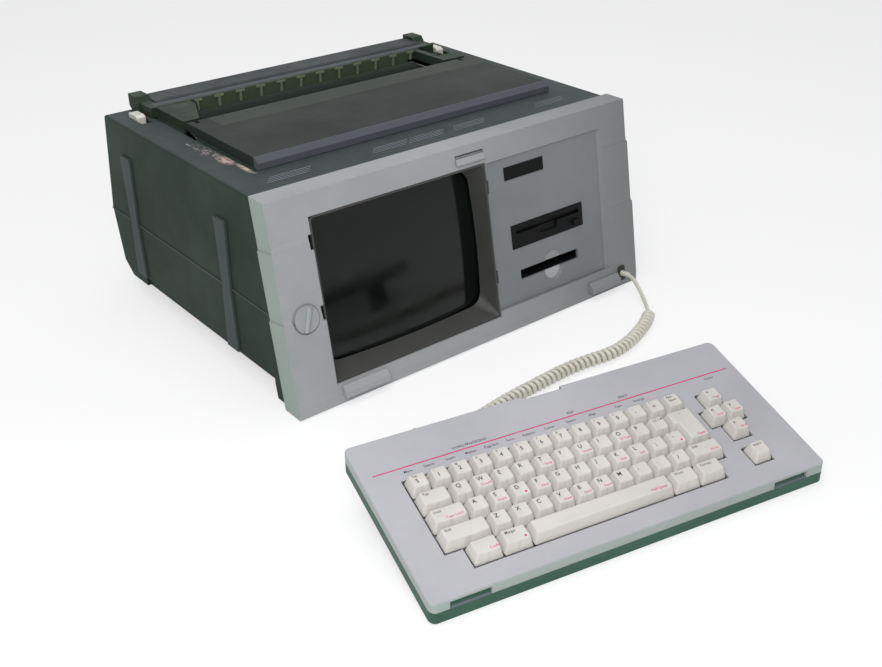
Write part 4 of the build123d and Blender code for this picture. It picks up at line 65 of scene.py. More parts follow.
# ---------------------------------------------------------------- curly lead
# One round cable in a soft cream vinyl jacket, wound into a tight curl and set by heat. It leaves
# the case's lower right corner, lies on the desk behind the keyboard and goes in at its rear left.
LEAD_RADIUS = 0.0022
CURL_RADIUS = 0.00505
CURLS = 43
LEAD_ROUTE = (
    (0.24097, -0.01126, 0.01740),
    (0.24097, -0.02505, 0.01980),
    (0.23247, -0.04342, 0.01600),
    (0.22147, -0.06342, 0.01050),
    (0.20747, -0.08442, 0.00760),
    (0.18847, -0.09642, 0.00760),
    (0.16647, -0.10592, 0.00760),
    (0.14547, -0.11342, 0.00760),
    (0.12547, -0.11742, 0.00760),
    (0.10747, -0.11792, 0.00760),
    (0.08947, -0.11492, 0.00760),
    (0.07047, -0.11222, 0.00760),
    (0.05047, -0.11162, 0.00760),
    (0.03047, -0.11222, 0.00760),
    (0.00947, -0.11342, 0.00760),
    (-0.01053, -0.11442, 0.00760),
    (-0.03053, -0.11592, 0.00760),
    (-0.05053, -0.11842, 0.00760),
    (-0.07653, -0.12242, 0.00760),
    (-0.09653, -0.12042, 0.00720),
    (-0.11653, -0.11442, 0.00760),
    (-0.13653, -0.11442, 0.01300),
    (-0.15353, -0.12542, 0.02600),
    (-0.16050, -0.14195, 0.04500),
    (-0.16342, -0.15565, 0.04500),
)
CURL_FROM, CURL_TO = 4, 18          # the curls run between these two points of the route
POINTS_PER_CURL = 14


def smooth_line(name, points, resolution):
    """A NURBS curve with these control points."""
    data = bpy.data.curves.new(name, "CURVE")
    data.dimensions = "3D"
    spline = data.splines.new("NURBS")
    spline.points.add(len(points) - 1)
    for point, place in zip(spline.points, points):
        point.co = (*place, 1.0)
    spline.order_u = 3
    spline.use_endpoint_u = True
    spline.resolution_u = resolution
    data.resolution_u = resolution
    return bpy.data.objects.new(name, data)


def mesh_of(curve):
    """The curve as the mesh that Blender draws for it."""
    scene.collection.objects.link(curve)
    depsgraph = bpy.context.evaluated_depsgraph_get()
    mesh = bpy.data.meshes.new_from_object(curve.evaluated_get(depsgraph))
    scene.collection.objects.unlink(curve)
    return mesh


route = [vertex.co.copy() for vertex in mesh_of(smooth_line("lead_route", LEAD_ROUTE, 24)).vertices]
run = [0.0]
for here, there in zip(route, route[1:]):
    run.append(run[-1] + (there - here).length)


def nearest_run(place):
    """Length of the route up to its point nearest to a place."""
    distances = [(point - Vector(place)).length for point in route]
    return run[distances.index(min(distances))]


curl_start, curl_end = nearest_run(LEAD_ROUTE[CURL_FROM]), nearest_run(LEAD_ROUTE[CURL_TO])
curl_pitch = (curl_end - curl_start) / CURLS
wound = []
index = 0
along = curl_start
while along <= curl_end + 1e-9:
    while index < len(run) - 2 and run[index + 1] < along:
        index += 1
    part = (along - run[index]) / (run[index + 1] - run[index])
    middle = route[index].lerp(route[index + 1], part)
    forward = (route[index + 1] - route[index]).normalized()
    ramp = min(min(along - curl_start, curl_end - along) / curl_pitch, 1.0)
    radius = CURL_RADIUS * ramp * ramp * (3 - 2 * ramp)
    turn = 2 * pi * (along - curl_start) / curl_pitch
    side = Vector((-forward.y, forward.x, 0.0)).normalized()
    wound.append(middle + (side * cos(turn) + forward.cross(side) * sin(turn)) * radius)
    along += curl_pitch / POINTS_PER_CURL

lead_points = [*LEAD_ROUTE[:CURL_FROM], *wound, *LEAD_ROUTE[CURL_TO + 1:]]
lead_curve = smooth_line("lead_line", lead_points, 3)
lead_path = [vertex.co.copy() for vertex in mesh_of(lead_curve).vertices]
lead_curve.data.bevel_depth = LEAD_RADIUS
lead_curve.data.bevel_resolution = 2
lead_curve.data.use_fill_caps = True
lead = bpy.data.objects.new("curly_lead", mesh_of(lead_curve))
scene.collection.objects.link(lead)
lead.data.shade_smooth()


def linear(hex_colour):
    """An sRGB hex colour as the linear values that a socket takes."""
    channels = [int(hex_colour[start:start + 2], 16) / 255 for start in (1, 3, 5)]
    return (*[c / 12.92 if c <= 0.04045 else ((c + 0.055) / 1.055) ** 2.4 for c in channels], 1.0)


def add_node(tree, kind, inputs=(), **settings):
    """One node with its settings; inputs pairs a socket's name or number with a value or an output."""
    made = tree.nodes.new(kind)
    for name, value in settings.items():
        setattr(made, name, value)
    for key, value in dict(inputs).items():
        if isinstance(value, bpy.types.NodeSocket):
            tree.links.new(value, made.inputs[key])
        else:
            made.inputs[key].default_value = value
    return made


def new_material(name):
    """A material with its tree, its shader and the place of each point on the piece."""
    material = bpy.data.materials.new(name)
    material.use_nodes = True
    tree = material.node_tree
    shader = tree.nodes["Principled BSDF"]
    place = add_node(tree, "ShaderNodeTexCoord").outputs["Object"]
    return material, tree, shader, place


# Soft PVC, drawn over the cable: an even satin, greyer in broad patches. Its real grain is far too fine
# to show, so it is drawn coarser.
GRIME_PATCH, VINYL_GRAIN = 22.2, 1.11       # lengths in mm
lead_vinyl, tree, shader, place = new_material("soft_vinyl_jacket")
grime = add_node(tree, "ShaderNodeTexNoise", {"Vector": place, "Scale": 1000 / GRIME_PATCH, "Detail": 4.0})
soiled = add_node(
    tree,
    "ShaderNodeMix",
    {0: grime.outputs["Fac"], 6: linear("#dcdace"), 7: linear("#bbb8aa")},
    data_type="RGBA",
)
tree.links.new(soiled.outputs[2], shader.inputs["Base Color"])
fine = add_node(tree, "ShaderNodeTexNoise", {"Vector": place, "Scale": 1000 / VINYL_GRAIN, "Detail": 2.0})
skin = add_node(tree, "ShaderNodeBump", {"Height": fine.outputs["Fac"], "Strength": 0.15, "Distance": 0.0002})
tree.links.new(skin.outputs["Normal"], shader.inputs["Normal"])
shader.inputs["Roughness"].default_value = 0.42
lead.data.materials.clear()
lead.data.materials.append(lead_vinyl)


def piece_of(name, mesh, *materials):
    """An object in the scene with this mesh and these materials."""
    piece = bpy.data.objects.new(name, bpy.data.meshes.new(name))
    mesh.to_mesh(piece.data)
    mesh.free()
    scene.collection.objects.link(piece)
    for material in materials:
        piece.data.materials.append(material)
    return piece


# Each end of the cable has a short tapered sleeve that keeps it from kinking at its bush.
SLEEVE_RINGS, SLEEVE_GROOVE = 9, 0.00035


def taper_sleeve(name, foot, way, length, radius_foot, radius_tip):
    """A cone round the cable, with a groove at every other ring."""
    mesh = bmesh.new()
    rings = []
    for step in range(SLEEVE_RINGS):
        share = step / (SLEEVE_RINGS - 1)
        groove = SLEEVE_GROOVE if step % 2 else 0.0
        radius = radius_foot + (radius_tip - radius_foot) * share - groove
        at_end = step in (0, SLEEVE_RINGS - 1)
        circle = bmesh.ops.create_circle(mesh, segments=28, radius=radius, cap_ends=at_end)
        bmesh.ops.translate(mesh, verts=circle["verts"], vec=(0, 0, length * share))
        rings.append({edge for vertex in circle["verts"] for edge in vertex.link_edges})
    for lower, upper in zip(rings, rings[1:]):
        bmesh.ops.bridge_loops(mesh, edges=list(lower | upper))
    turn = Vector(way).to_track_quat("Z", "Y").to_matrix().to_4x4()
    bmesh.ops.transform(mesh, matrix=Matrix.Translation(foot) @ turn, verts=mesh.verts)
    bmesh.ops.recalc_face_normals(mesh, faces=mesh.faces)
    sleeve = piece_of(name, mesh, lead_vinyl)
    sleeve.data.shade_smooth()
    return sleeve


case_sleeve = taper_sleeve("lead_sleeve_case", LEAD_ROUTE[0], (0, -0.98525, 0.17114), 0.011, 0.0034, 0.0027)
board_sleeve = taper_sleeve(
    "lead_sleeve_keyboard", LEAD_ROUTE[-1], (0.20824, 0.97808, 0.0), 0.013, 0.0032, 0.0027
)
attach(case_sleeve, "case")
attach(board_sleeve, "keyboard")

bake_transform(lead)
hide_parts("keyboard_cord")

# ---------------------------------------------------------------- floor and lamps
# The set stands on a pale, even sweep of backdrop paper under a soft overhead lamp, as for a catalogue
# picture, and a second lamp lights its front from the left.
FLOOR_GLOW = 0.6                    # share of plain white in the floor, as the eye sees it
FLOOR_REACH, FLOOR_DROP = 9.0, 0.0002
CLOUD_PATCH = 667                   # length in mm of a patch of the paper's tone
floor_mesh = bmesh.new()
bmesh.ops.create_grid(floor_mesh, x_segments=4, y_segments=4, size=FLOOR_REACH)
floor = piece_of("floor", floor_mesh)
floor.location.z = -FLOOR_DROP

# Backdrop paper: plain matt white, with hardly a change of tone.
floor_paper, tree, shader, place = new_material("backdrop_paper")
cloud = add_node(tree, "ShaderNodeTexNoise", {"Vector": place, "Scale": 1000 / CLOUD_PATCH})
sheet_tone = add_node(
    tree,
    "ShaderNodeMix",
    {0: cloud.outputs["Fac"], 6: linear("#fdfdfd"), 7: linear("#f8f8f8")},
    data_type="RGBA",
)
tree.links.new(sheet_tone.outputs[2], shader.inputs["Base Color"])
shader.inputs["Roughness"].default_value = 0.9
shader.inputs["Specular IOR Level"].default_value = 0.1


def seen_white(tree):
    """One for what the camera, gloss and glass see, and nought for what only lights the set."""
    path = add_node(tree, "ShaderNodeLightPath").outputs
    seen = path["Is Camera Ray"]
    for ray in ("Is Glossy Ray", "Is Transmission Ray"):
        seen = add_node(tree, "ShaderNodeMath", {0: seen, 1: path[ray]}, operation="MAXIMUM").outputs[0]
    return seen


WHITE = (1.0, 1.0, 1.0, 1.0)
sheet_share = add_node(tree, "ShaderNodeMath", {0: seen_white(tree), 1: FLOOR_GLOW}, operation="MULTIPLY")
sheet_glow = add_node(tree, "ShaderNodeEmission", {"Color": WHITE, "Strength": 1.0})
sheet_mix = add_node(
    tree, "ShaderNodeMixShader", {0: sheet_share.outputs[0], 1: shader.outputs[0], 2: sheet_glow.outputs[0]}
)
tree.links.new(sheet_mix.outputs[0], tree.nodes["Material Output"].inputs["Surface"])
floor.data.materials.append(floor_paper)

world = bpy.data.worlds.new("studio")
scene.world = world
world.use_nodes = True
world_tree = world.node_tree
sky = world_tree.nodes["Background"]
sky.inputs["Color"].default_value = linear("#f4f5f6")
sky.inputs["Strength"].default_value = 0.5
backdrop = add_node(world_tree, "ShaderNodeBackground", {"Color": WHITE, "Strength": 1.0})
backdrop_mix = add_node(
    world_tree, "ShaderNodeMixShader", {0: seen_white(world_tree), 1: sky.outputs[0], 2: backdrop.outputs[0]}
)
world_tree.links.new(backdrop_mix.outputs[0], world_tree.nodes["World Output"].inputs["Surface"])


def soft_lamp(name, place, aim, size, power):
    """A large square lamp that looks at a point."""
    data = bpy.data.lights.new(name, "AREA")
    data.size = size
    data.energy = power
    lamp = bpy.data.objects.new(name, data)
    lamp.location = place
    lamp.rotation_euler = (Vector(aim) - Vector(place)).to_track_quat("-Z", "Y").to_euler()
    scene.collection.objects.link(lamp)


soft_lamp("lamp_front", (-0.78, -0.78, 0.88), (-0.15, -0.05, 0.12), 0.6, 9.5)
soft_lamp("lamp_top", (-0.2, 0.1, 2.4), (0.0, 0.0, 0.0), 1.6, 17.0)

# ---------------------------------------------------------------- front bezel
# The bezel is one light grey ABS moulding with a fine spark-eroded skin. It has three stepped tiers
# and frames the screen and the drive panel. Its edges are rounded and a little paler.
DRIFT_PATCH, RUB_PATCH, DUST_PATCH = 111, 14.3, 20.8        # lengths in mm of patches on the plastic


def moulded(
    name, tone, shade, worn, grain=0.0016, depth=0.00012, rough=0.5, wear=0.35, dust=0.0, edge=0.0011,
    gleam=0.5, marks=(),
):
    """Textured ABS: a tone that drifts to a shade, rubbed light edges, a fine grain and settled dust.

    The tool's real grain is about 0.3 mm, which is too fine to show, so it is drawn coarser. Each of
    the marks is a function that gives its share, with the colour that it lays over the plastic."""
    material, tree, shader, place = new_material(name)
    drift = add_node(
        tree,
        "ShaderNodeTexNoise",
        {"Vector": place, "Scale": 1000 / DRIFT_PATCH, "Detail": 5.0, "Roughness": 0.6},
    ).outputs["Fac"]
    drift_share = add_node(tree, "ShaderNodeMapRange", {0: drift, 1: 0.35, 2: 0.68, 3: 0.0, 4: 1.0})
    base = add_node(
        tree,
        "ShaderNodeMix",
        {0: drift_share.outputs[0], 6: linear(tone), 7: linear(shade)},
        data_type="RGBA",
    )
    softened = add_node(tree, "ShaderNodeBevel", {"Radius": edge}, samples=4).outputs["Normal"]
    true_normal = add_node(tree, "ShaderNodeNewGeometry").outputs["Normal"]
    agree = add_node(tree, "ShaderNodeVectorMath", {0: softened, 1: true_normal}, operation="DOT_PRODUCT")
    at_edge = add_node(
        tree, "ShaderNodeMapRange", {0: agree.outputs["Value"], 1: 0.995, 2: 0.86, 3: 0.0, 4: wear}
    )
    rub = add_node(tree, "ShaderNodeTexNoise", {"Vector": place, "Scale": 1000 / RUB_PATCH, "Detail": 4.0})
    rub_share = add_node(
        tree, "ShaderNodeMapRange", {0: rub.outputs["Fac"], 1: 0.42, 2: 0.66, 3: 0.15, 4: 1.0}
    )
    rubbed = add_node(
        tree, "ShaderNodeMath", {0: at_edge.outputs[0], 1: rub_share.outputs[0]}, operation="MULTIPLY"
    )
    with_wear = add_node(
        tree,
        "ShaderNodeMix",
        {0: rubbed.outputs[0], 6: base.outputs[2], 7: linear(worn)},
        data_type="RGBA",
    )
    upward = add_node(tree, "ShaderNodeSeparateXYZ", {0: true_normal}).outputs["Z"]
    level_share = add_node(tree, "ShaderNodeMapRange", {0: upward, 1: 0.55, 2: 1.0, 3: 0.0, 4: dust})
    settled = add_node(
        tree,
        "ShaderNodeTexNoise",
        {"Vector": place, "Scale": 1000 / DUST_PATCH, "Detail": 6.0, "Roughness": 0.7},
    )
    settled_share = add_node(
        tree, "ShaderNodeMapRange", {0: settled.outputs["Fac"], 1: 0.4, 2: 0.75, 3: 0.1, 4: 1.0}
    )
    dusted = add_node(
        tree, "ShaderNodeMath", {0: level_share.outputs[0], 1: settled_share.outputs[0]}, operation="MULTIPLY"
    )
    colour = add_node(
        tree,
        "ShaderNodeMix",
        {0: dusted.outputs[0], 6: with_wear.outputs[2], 7: linear("#a6a69e")},
        data_type="RGBA",
    )
    for share_of, tint in marks:
        laid = {0: share_of(tree, place), 6: colour.outputs[2], 7: linear(tint)}
        colour = add_node(tree, "ShaderNodeMix", laid, data_type="RGBA")
    tree.links.new(colour.outputs[2], shader.inputs["Base Color"])
    shader.inputs["Specular IOR Level"].default_value = gleam
    gloss = add_node(
        tree, "ShaderNodeMapRange", {0: drift, 1: 0.3, 2: 0.7, 3: rough - 0.06, 4: rough + 0.08}
    )
    tree.links.new(gloss.outputs[0], shader.inputs["Roughness"])
    pebble = add_node(tree, "ShaderNodeTexNoise", {"Vector": place, "Scale": 1 / grain, "Detail": 2.0})
    relief = add_node(
        tree,
        "ShaderNodeBump",
        {"Height": pebble.outputs["Fac"], "Strength": 0.35, "Distance": depth, "Normal": softened},
    )
    tree.links.new(relief.outputs["Normal"], shader.inputs["Normal"])
    return material


def dress(material, *names):
    """Give CAD nodes their finish."""
    for name in names:
        for slot in nodes[name].material_slots:
            slot.material = material


def painted_falloff_shade_right(tree, place):
    """Painted shade: a slow darkening towards the bezel's right end, where the light falls off."""
    across = add_node(tree, "ShaderNodeSeparateXYZ", {0: place}).outputs["X"]
    return add_node(tree, "ShaderNodeMapRange", {0: across, 1: 0.02, 2: 0.26, 3: 0.0, 4: 0.75}).outputs[0]


def painted_green_cast_left(tree, place):
    """Painted light: the bezel's outer left faces, drawn greener than its front, a cast of green bounce
    light.
    """
    normal = add_node(tree, "ShaderNodeNewGeometry").outputs["Normal"]
    leftward = add_node(tree, "ShaderNodeSeparateXYZ", {0: normal}).outputs["X"]
    facing = add_node(tree, "ShaderNodeMapRange", {0: leftward, 1: -0.6, 2: -0.9, 3: 0.0, 4: 0.7}).outputs[0]
    across = add_node(tree, "ShaderNodeSeparateXYZ", {0: place}).outputs["X"]
    outer = add_node(tree, "ShaderNodeMath", {0: across, 1: -0.17}, operation="LESS_THAN").outputs[0]
    return add_node(tree, "ShaderNodeMath", {0: facing, 1: outer}, operation="MULTIPLY").outputs[0]


# Textured ABS, dyed through: a matt light grey with a soft gleam. Painted shade darkens it towards its right
# end, and its outer left faces carry a painted green cast of bounce light. The drive panel's is a shade
# darker.
bezel_abs = moulded(
    "moulded_abs_light_grey", "#9c9ea0", "#929496", "#bcbec0", dust=0.1, gleam=0.3,
    marks=[(painted_falloff_shade_right, "#6d6f6f"), (painted_green_cast_left, "#84948a")],
)
dress(bezel_abs, "front_bezel", "front_catches", "keyboard_latch", "brightness_knob")
panel_abs = moulded("moulded_abs_mid_grey", "#7b7e80", "#737678", "#9b9ea0", dust=0.08, gleam=0.3)
dress(panel_abs, "drive_panel")

# A round finger scoop, of light grey ABS as the bezel is, dips in above and below the cartridge slot.
# Each half is a thin plate, measured in mm across the case and up the sloping face.
UNIT = Vector((0.03547, -0.01042, 0.0))     # the case's own middle line at its front, on the desk
FACE_SETBACK, CASE_HEIGHT = 36.2, 208.4     # how far the face leans back over the case's height, in mm
FACE_TILT = atan2(FACE_SETBACK, CASE_HEIGHT)
SCOOP_X, SLOT_MIDDLE = 106.5, 58.0
SCOOP_DIP, SCOOP_THICK = 0.9, 0.8
SCOOP_CUTS, SCOOP_CUT_STEP = 6, 1.7         # cuts across the plate, so that it can follow the dish
SMOOTH_UP_TO = radians(38)                  # edges that turn more than this stay sharp
face_frame = Matrix((
    (1.0, 0.0, 0.0, UNIT.x * 1000),
    (0.0, sin(FACE_TILT), -cos(FACE_TILT), UNIT.y * 1000),
    (0.0, cos(FACE_TILT), sin(FACE_TILT), 0.0),
    (0.0, 0.0, 0.0, 1000.0),
)) * 0.001


def scoop_half(name, middle_s, radius, edge_s, rim, material):
    """One side of the scoop: a round shallow dish cut off at the slot's edge.

    Its middle and that edge are heights up the face, and its rim is a depth in from the face, in mm."""
    way = 1 if edge_s > SLOT_MIDDLE else -1
    mesh = bmesh.new()
    bmesh.ops.create_circle(mesh, cap_ends=True, segments=64, radius=radius)
    for step in range(SCOOP_CUTS):
        cut = edge_s - middle_s + way * step * SCOOP_CUT_STEP
        bmesh.ops.bisect_plane(
            mesh, geom=[*mesh.verts, *mesh.edges, *mesh.faces], plane_co=(0, cut, 0), plane_no=(0, way, 0),
            clear_inner=step == 0,
        )
    for vertex in mesh.verts:
        reach = min(hypot(vertex.co.x, vertex.co.y) / radius, 1.0)
        vertex.co = (vertex.co.x + SCOOP_X, vertex.co.y + middle_s, rim - SCOOP_DIP * (1 - reach**2))
    grown = bmesh.ops.extrude_face_region(mesh, geom=list(mesh.faces))
    backs = [item for item in grown["geom"] if isinstance(item, bmesh.types.BMVert)]
    bmesh.ops.translate(mesh, verts=backs, vec=(0, 0, -SCOOP_THICK))
    bmesh.ops.recalc_face_normals(mesh, faces=mesh.faces)
    bmesh.ops.transform(mesh, matrix=face_frame, verts=mesh.verts)
    half = piece_of(name, mesh, material)
    half.data.shade_smooth()
    half.data.set_sharp_from_angle(angle=SMOOTH_UP_TO)
    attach(half, "case")


# The lower half's ABS is smooth from its tool, so it looks a little glossier; its paler tone is a painted
# highlight for the light that falls on it from above.
scoop_abs = moulded(
    "polished_abs_light_grey", "#a9abad", "#a0a2a4", "#bcbec0", depth=0.00003, rough=0.4, gleam=0.3
)
scoop_half("cartridge_scoop_upper", 60.0, 12.45, 63.6, -1.9, bezel_abs)
scoop_half("cartridge_scoop_lower", 51.3, 11.1, 52.2, -4.0, scoop_abs)

# ---------------------------------------------------------------- screen
# The picture tube's face is dark smoked glass over a near-black green phosphor, with a dark grey
# surround of smooth ABS that slopes in to it from the bezel.
surround_abs = moulded(
    "smooth_abs_taupe", "#454643", "#3b3c39", "#62625d", depth=0.00005, rough=0.5, wear=0.15, gleam=0.3
)
dress(surround_abs, "screen_surround")

# Polished lead glass over phosphor: a sharp reflection on near-black green, with a film of dust.
PHOSPHOR_PATCH, FILM_PATCH = 167, 28.6      # lengths in mm
tube_glass, tree, shader, place = new_material("polished_tube_glass")
phosphor = add_node(
    tree, "ShaderNodeTexNoise", {"Vector": place, "Scale": 1000 / PHOSPHOR_PATCH, "Detail": 3.0}
)
glass_tone = add_node(
    tree,
    "ShaderNodeMix",
    {0: phosphor.outputs["Fac"], 6: linear("#0a0e0c"), 7: linear("#101513")},
    data_type="RGBA",
)
tree.links.new(glass_tone.outputs[2], shader.inputs["Base Color"])
film = add_node(tree, "ShaderNodeTexNoise", {"Vector": place, "Scale": 1000 / FILM_PATCH, "Detail": 5.0})
film_gloss = add_node(tree, "ShaderNodeMapRange", {0: film.outputs["Fac"], 1: 0.35, 2: 0.7, 3: 0.08, 4: 0.2})
tree.links.new(film_gloss.outputs[0], shader.inputs["Roughness"])
shader.inputs["IOR"].default_value = 1.52
shader.inputs["Specular IOR Level"].default_value = 0.25
dress(tube_glass, "picture_tube")

# ---------------------------------------------------------------- case
# Two dark grey-green ABS shells meet at a beaded seam, with tapered ribs down each side. The lid over
# the printer, the paper table and the paper support are ABS too, each in a tone of its own.
CASE_TOP = 0.2064                           # height of the case's flat top, in metres


def inside(tree, limits, strength=1.0):
    """The strength where each value lies within a half width of its middle, else nought."""
    result = strength
    for value, middle, half in limits:
        near = add_node(tree, "ShaderNodeMath", {0: value, 1: middle, 2: half}, operation="COMPARE")
        both = add_node(tree, "ShaderNodeMath", {0: near.outputs[0], 1: result}, operation="MULTIPLY")
        result = both.outputs[0]
    return result


def in_box(low, high, strength=1.0):
    """A mark that fills a box of the case, in mm from its middle line."""
    middle = [(low[axis] + high[axis]) / 2000 + UNIT[axis] for axis in range(3)]
    half = [(high[axis] - low[axis]) / 2000 for axis in range(3)]

    def share(tree, place):
        axes = add_node(tree, "ShaderNodeSeparateXYZ", {0: place}).outputs
        return inside(tree, zip(axes, middle, half), strength)
    return share


SCRATCH_WIDE = 1.923                        # width in mm of a scratch, drawn coarse so that it shows
SCRATCH_SQUEEZE = 0.28                      # a scratch is as much longer than wide as one over this


def scuffed(x, y, half_x, half_y, coverage):
    """A mark of broken scratches, from front to back, that fades out of an ellipse on the case's top."""
    middle = (UNIT.x + x / 1000, UNIT.y + y / 1000, CASE_TOP)
    reach_of_one = (1000 / half_x, 1000 / half_y, 120.0)
    threshold = 0.62 - coverage * 0.3

    def share(tree, place):
        shifted = add_node(tree, "ShaderNodeVectorMath", {0: place, 1: middle}, operation="SUBTRACT")
        scaled = add_node(
            tree, "ShaderNodeVectorMath", {0: shifted.outputs[0], 1: reach_of_one}, operation="MULTIPLY"
        )
        reach = add_node(tree, "ShaderNodeVectorMath", {0: scaled.outputs[0]}, operation="LENGTH")
        fade = add_node(
            tree, "ShaderNodeMapRange", {0: reach.outputs["Value"], 1: 0.35, 2: 1.0, 3: 1.0, 4: 0.0}
        )
        drawn = add_node(
            tree, "ShaderNodeVectorMath", {0: place, 1: (1.0, SCRATCH_SQUEEZE, 1.0)}, operation="MULTIPLY"
        )
        streaks = add_node(
            tree,
            "ShaderNodeTexNoise",
            {"Vector": drawn.outputs[0], "Scale": 1000 / SCRATCH_WIDE, "Detail": 5.0},
        )
        broken = add_node(
            tree,
            "ShaderNodeMapRange",
            {0: streaks.outputs["Fac"], 1: threshold, 2: threshold + 0.08, 3: 0.0, 4: 1.0},
        )
        shown = {0: fade.outputs[0], 1: broken.outputs[0]}
        return add_node(tree, "ShaderNodeMath", shown, operation="MULTIPLY").outputs[0]
    return share


VENT_Y, VENT_PITCH, VENT_SHIFT, VENT_LINES = 80.0, 3.6, 3.0, 4
VENT_GROUPS = ((-193.0, -147.0), (-74.0, -32.0), (-29.0, 15.0), (28.0, 70.0), (143.0, 184.0))
RIM_BEHIND, RIM_HALF = 0.00105, 0.0005      # from a line's middle to the middle of its rim; half its width
RIM_BAND, RIM_STRENGTH = 0.0006, 0.9        # how near the case's top a point has to be; how pale it gets


def painted_vent_rim_highlights(tree, place):
    """Painted highlights on the rims of each slanted group of fine vent lines, where their edges catch the
    light.
    """
    axes = add_node(tree, "ShaderNodeSeparateXYZ", {0: place}).outputs
    rise = add_node(
        tree, "ShaderNodeMath", {0: axes["Y"], 1: UNIT.y + VENT_Y / 1000}, operation="SUBTRACT"
    ).outputs[0]
    lean = add_node(tree, "ShaderNodeMath", {0: rise, 1: VENT_SHIFT / VENT_PITCH}, operation="MULTIPLY")
    across = add_node(
        tree, "ShaderNodeMath", {0: axes["X"], 1: lean.outputs[0]}, operation="SUBTRACT"
    ).outputs[0]
    groups = 0.0
    for left, right in VENT_GROUPS:
        middle = (left + right) / 2000 + UNIT.x - (VENT_LINES - 1) / 2 * VENT_SHIFT / 1000
        group = inside(tree, [(across, middle, (right - left) / 2000)])
        groups = add_node(tree, "ShaderNodeMath", {0: group, 1: groups}, operation="MAXIMUM").outputs[0]
    step = add_node(
        tree, "ShaderNodeMath", {0: rise, 1: -VENT_PITCH / 2000, 2: VENT_PITCH / 2000}, operation="WRAP"
    ).outputs[0]
    limits = [
        (step, RIM_BEHIND, RIM_HALF),
        (rise, (VENT_LINES - 1) * VENT_PITCH / 2000, VENT_LINES * VENT_PITCH / 2000),
        (axes["Z"], CASE_TOP, RIM_BAND),
    ]
    rims = inside(tree, limits, RIM_STRENGTH)
    return add_node(tree, "ShaderNodeMath", {0: groups, 1: rims}, operation="MULTIPLY").outputs[0]


# Textured ABS, dyed through: a matt dark green-grey that gleams little. The ribs' faces and the vents' rims
# carry painted highlights where they catch the light, the top is greyer than the sides, and its left edge has
# pale, flaky patches.
side_marks = [
    (in_box((-240, 50, 205.6), (240, 400, 208), 0.55), "#41464a"),
    # Painted highlights: the ribs' outer faces down each side, drawn paler where they catch the light.
    (in_box((-240, 0, 0), (-226.7, 400, 210), 0.4), "#565e62"),
    (in_box((226.7, 0, 0), (240, 400, 210), 0.4), "#565e62"),
    # Painted highlights along the rims of the vent lines.
    (painted_vent_rim_highlights, "#888c94"),
    (scuffed(-196, 158, 8, 17, 0.75), "#b8a29e"),
    (scuffed(-192, 127, 5, 20, 0.9), "#b9aea4"),
    (scuffed(-199, 190, 9, 34, 0.45), "#8f8382"),
    (scuffed(-203, 222, 3, 5, 0.5), "#9a9592"),
]
case_abs = moulded(
    "moulded_abs_dark_grey_green", "#213027", "#1b2821", "#5f6a63", dust=0.07, wear=0.35, rough=0.6,
    grain=0.002, gleam=0.16, marks=side_marks,
)
dress(case_abs, "upper_case", "lower_case")

# The lid's ABS is near black. A strip of it in front of the mouth is paler, and its front edge is painted
# lighter and bluer where the light falls on it.
cover_marks = [
    (in_box((-162, 222, 216), (200, 260, 219), 0.2), "#5d6658"),
    # Painted light: the lid's front edge, lighter and bluer where the light falls on it.
    (in_box((-187, 112.5, 206), (191, 121.5, 217.6), 0.6), "#5f626b"),
]
cover_abs = moulded(
    "moulded_abs_slate_cover", "#212927", "#202826", "#6a7172", dust=0.015, wear=0.4, rough=0.6, grain=0.002,
    gleam=0.16, marks=cover_marks,
)
dress(cover_abs, "printer_cover")

# The paper table's ABS is a little greener. Its ribs have pale fronts, and the top of its wall is bluer.
table_marks = [
    (in_box((-142, 317, 200.5), (157, 320.4, 218), 0.5), "#8d9a80"),
    (in_box((-142, 317, 200.5), (157, 320.7, 218), 0.35), "#5d6b52"),
    (in_box((-185, 326, 213), (185, 336, 218), 0.25), "#747a88"),
]
table_abs = moulded(
    "moulded_abs_green_table", "#273429", "#202c23", "#737b6b", dust=0.12, wear=0.4, rough=0.6, grain=0.002,
    gleam=0.16, marks=table_marks,
)
dress(table_abs, "paper_table")

# The paper support's ABS is a bluer grey, with dust on it.
support_abs = moulded(
    "moulded_abs_grey_support", "#353b3e", "#2d3235", "#70767c", dust=0.12, wear=0.4, rough=0.6, grain=0.002,
    gleam=0.18,
)
dress(support_abs, "paper_support")

# ---------------------------------------------------------------- black trim
# The name plate, disk drive front, sockets, mains switch and platen knob are moulded in black ABS, each
# on its own, and pressed into or screwed behind its opening. Its smooth skin gives a soft satin gleam.
black_abs = moulded(
    "satin_abs_black", "#0b0c0c", "#101111", "#3a3c3d", depth=0.00004, rough=0.45, wear=0.25, dust=0.03,
    gleam=0.1,
)
dress(
    black_abs,
    "badge_plate",
    "floppy_bezel",
    "disk_door",
    "eject_button",
    "cartridge_socket",
    "power_inlet",
    "power_switch",
    "platen_knob",
    "ribbon_cartridge",
)

# ---------------------------------------------------------------- levers
# The paper release and copy control levers turn on pins in the case. They and the printer's small moving
# parts are moulded in white acetal, which looks creamy and a little waxy.
lever_acetal = moulded(
    "moulded_acetal_white", "#d8d6cf", "#cbc8bf", "#e4e2dc", depth=0.00004, rough=0.38, wear=0.2, dust=0.1
)
dress(
    lever_acetal,
    "paper_release_lever",
    "copy_control_lever",
    "platen_gear",
    "feed_pinion",
    "print_wheel",
    "belt_pulley",
    "carriage",
)

# ---------------------------------------------------------------- rubber
# Feet, lead bushes and the carriage's belt are moulded in black rubber, dull and even. Feet and bushes
# are pressed into their holes.
feet_rubber = moulded(
    "moulded_rubber_black", "#1a1a1a", "#232322", "#3a3a39", depth=0.0001, rough=0.75, wear=0.3, dust=0.1
)
dress(feet_rubber, "rubber_feet", "keyboard_feet", "unit_cord_gland", "keyboard_cord_gland", "carriage_belt")

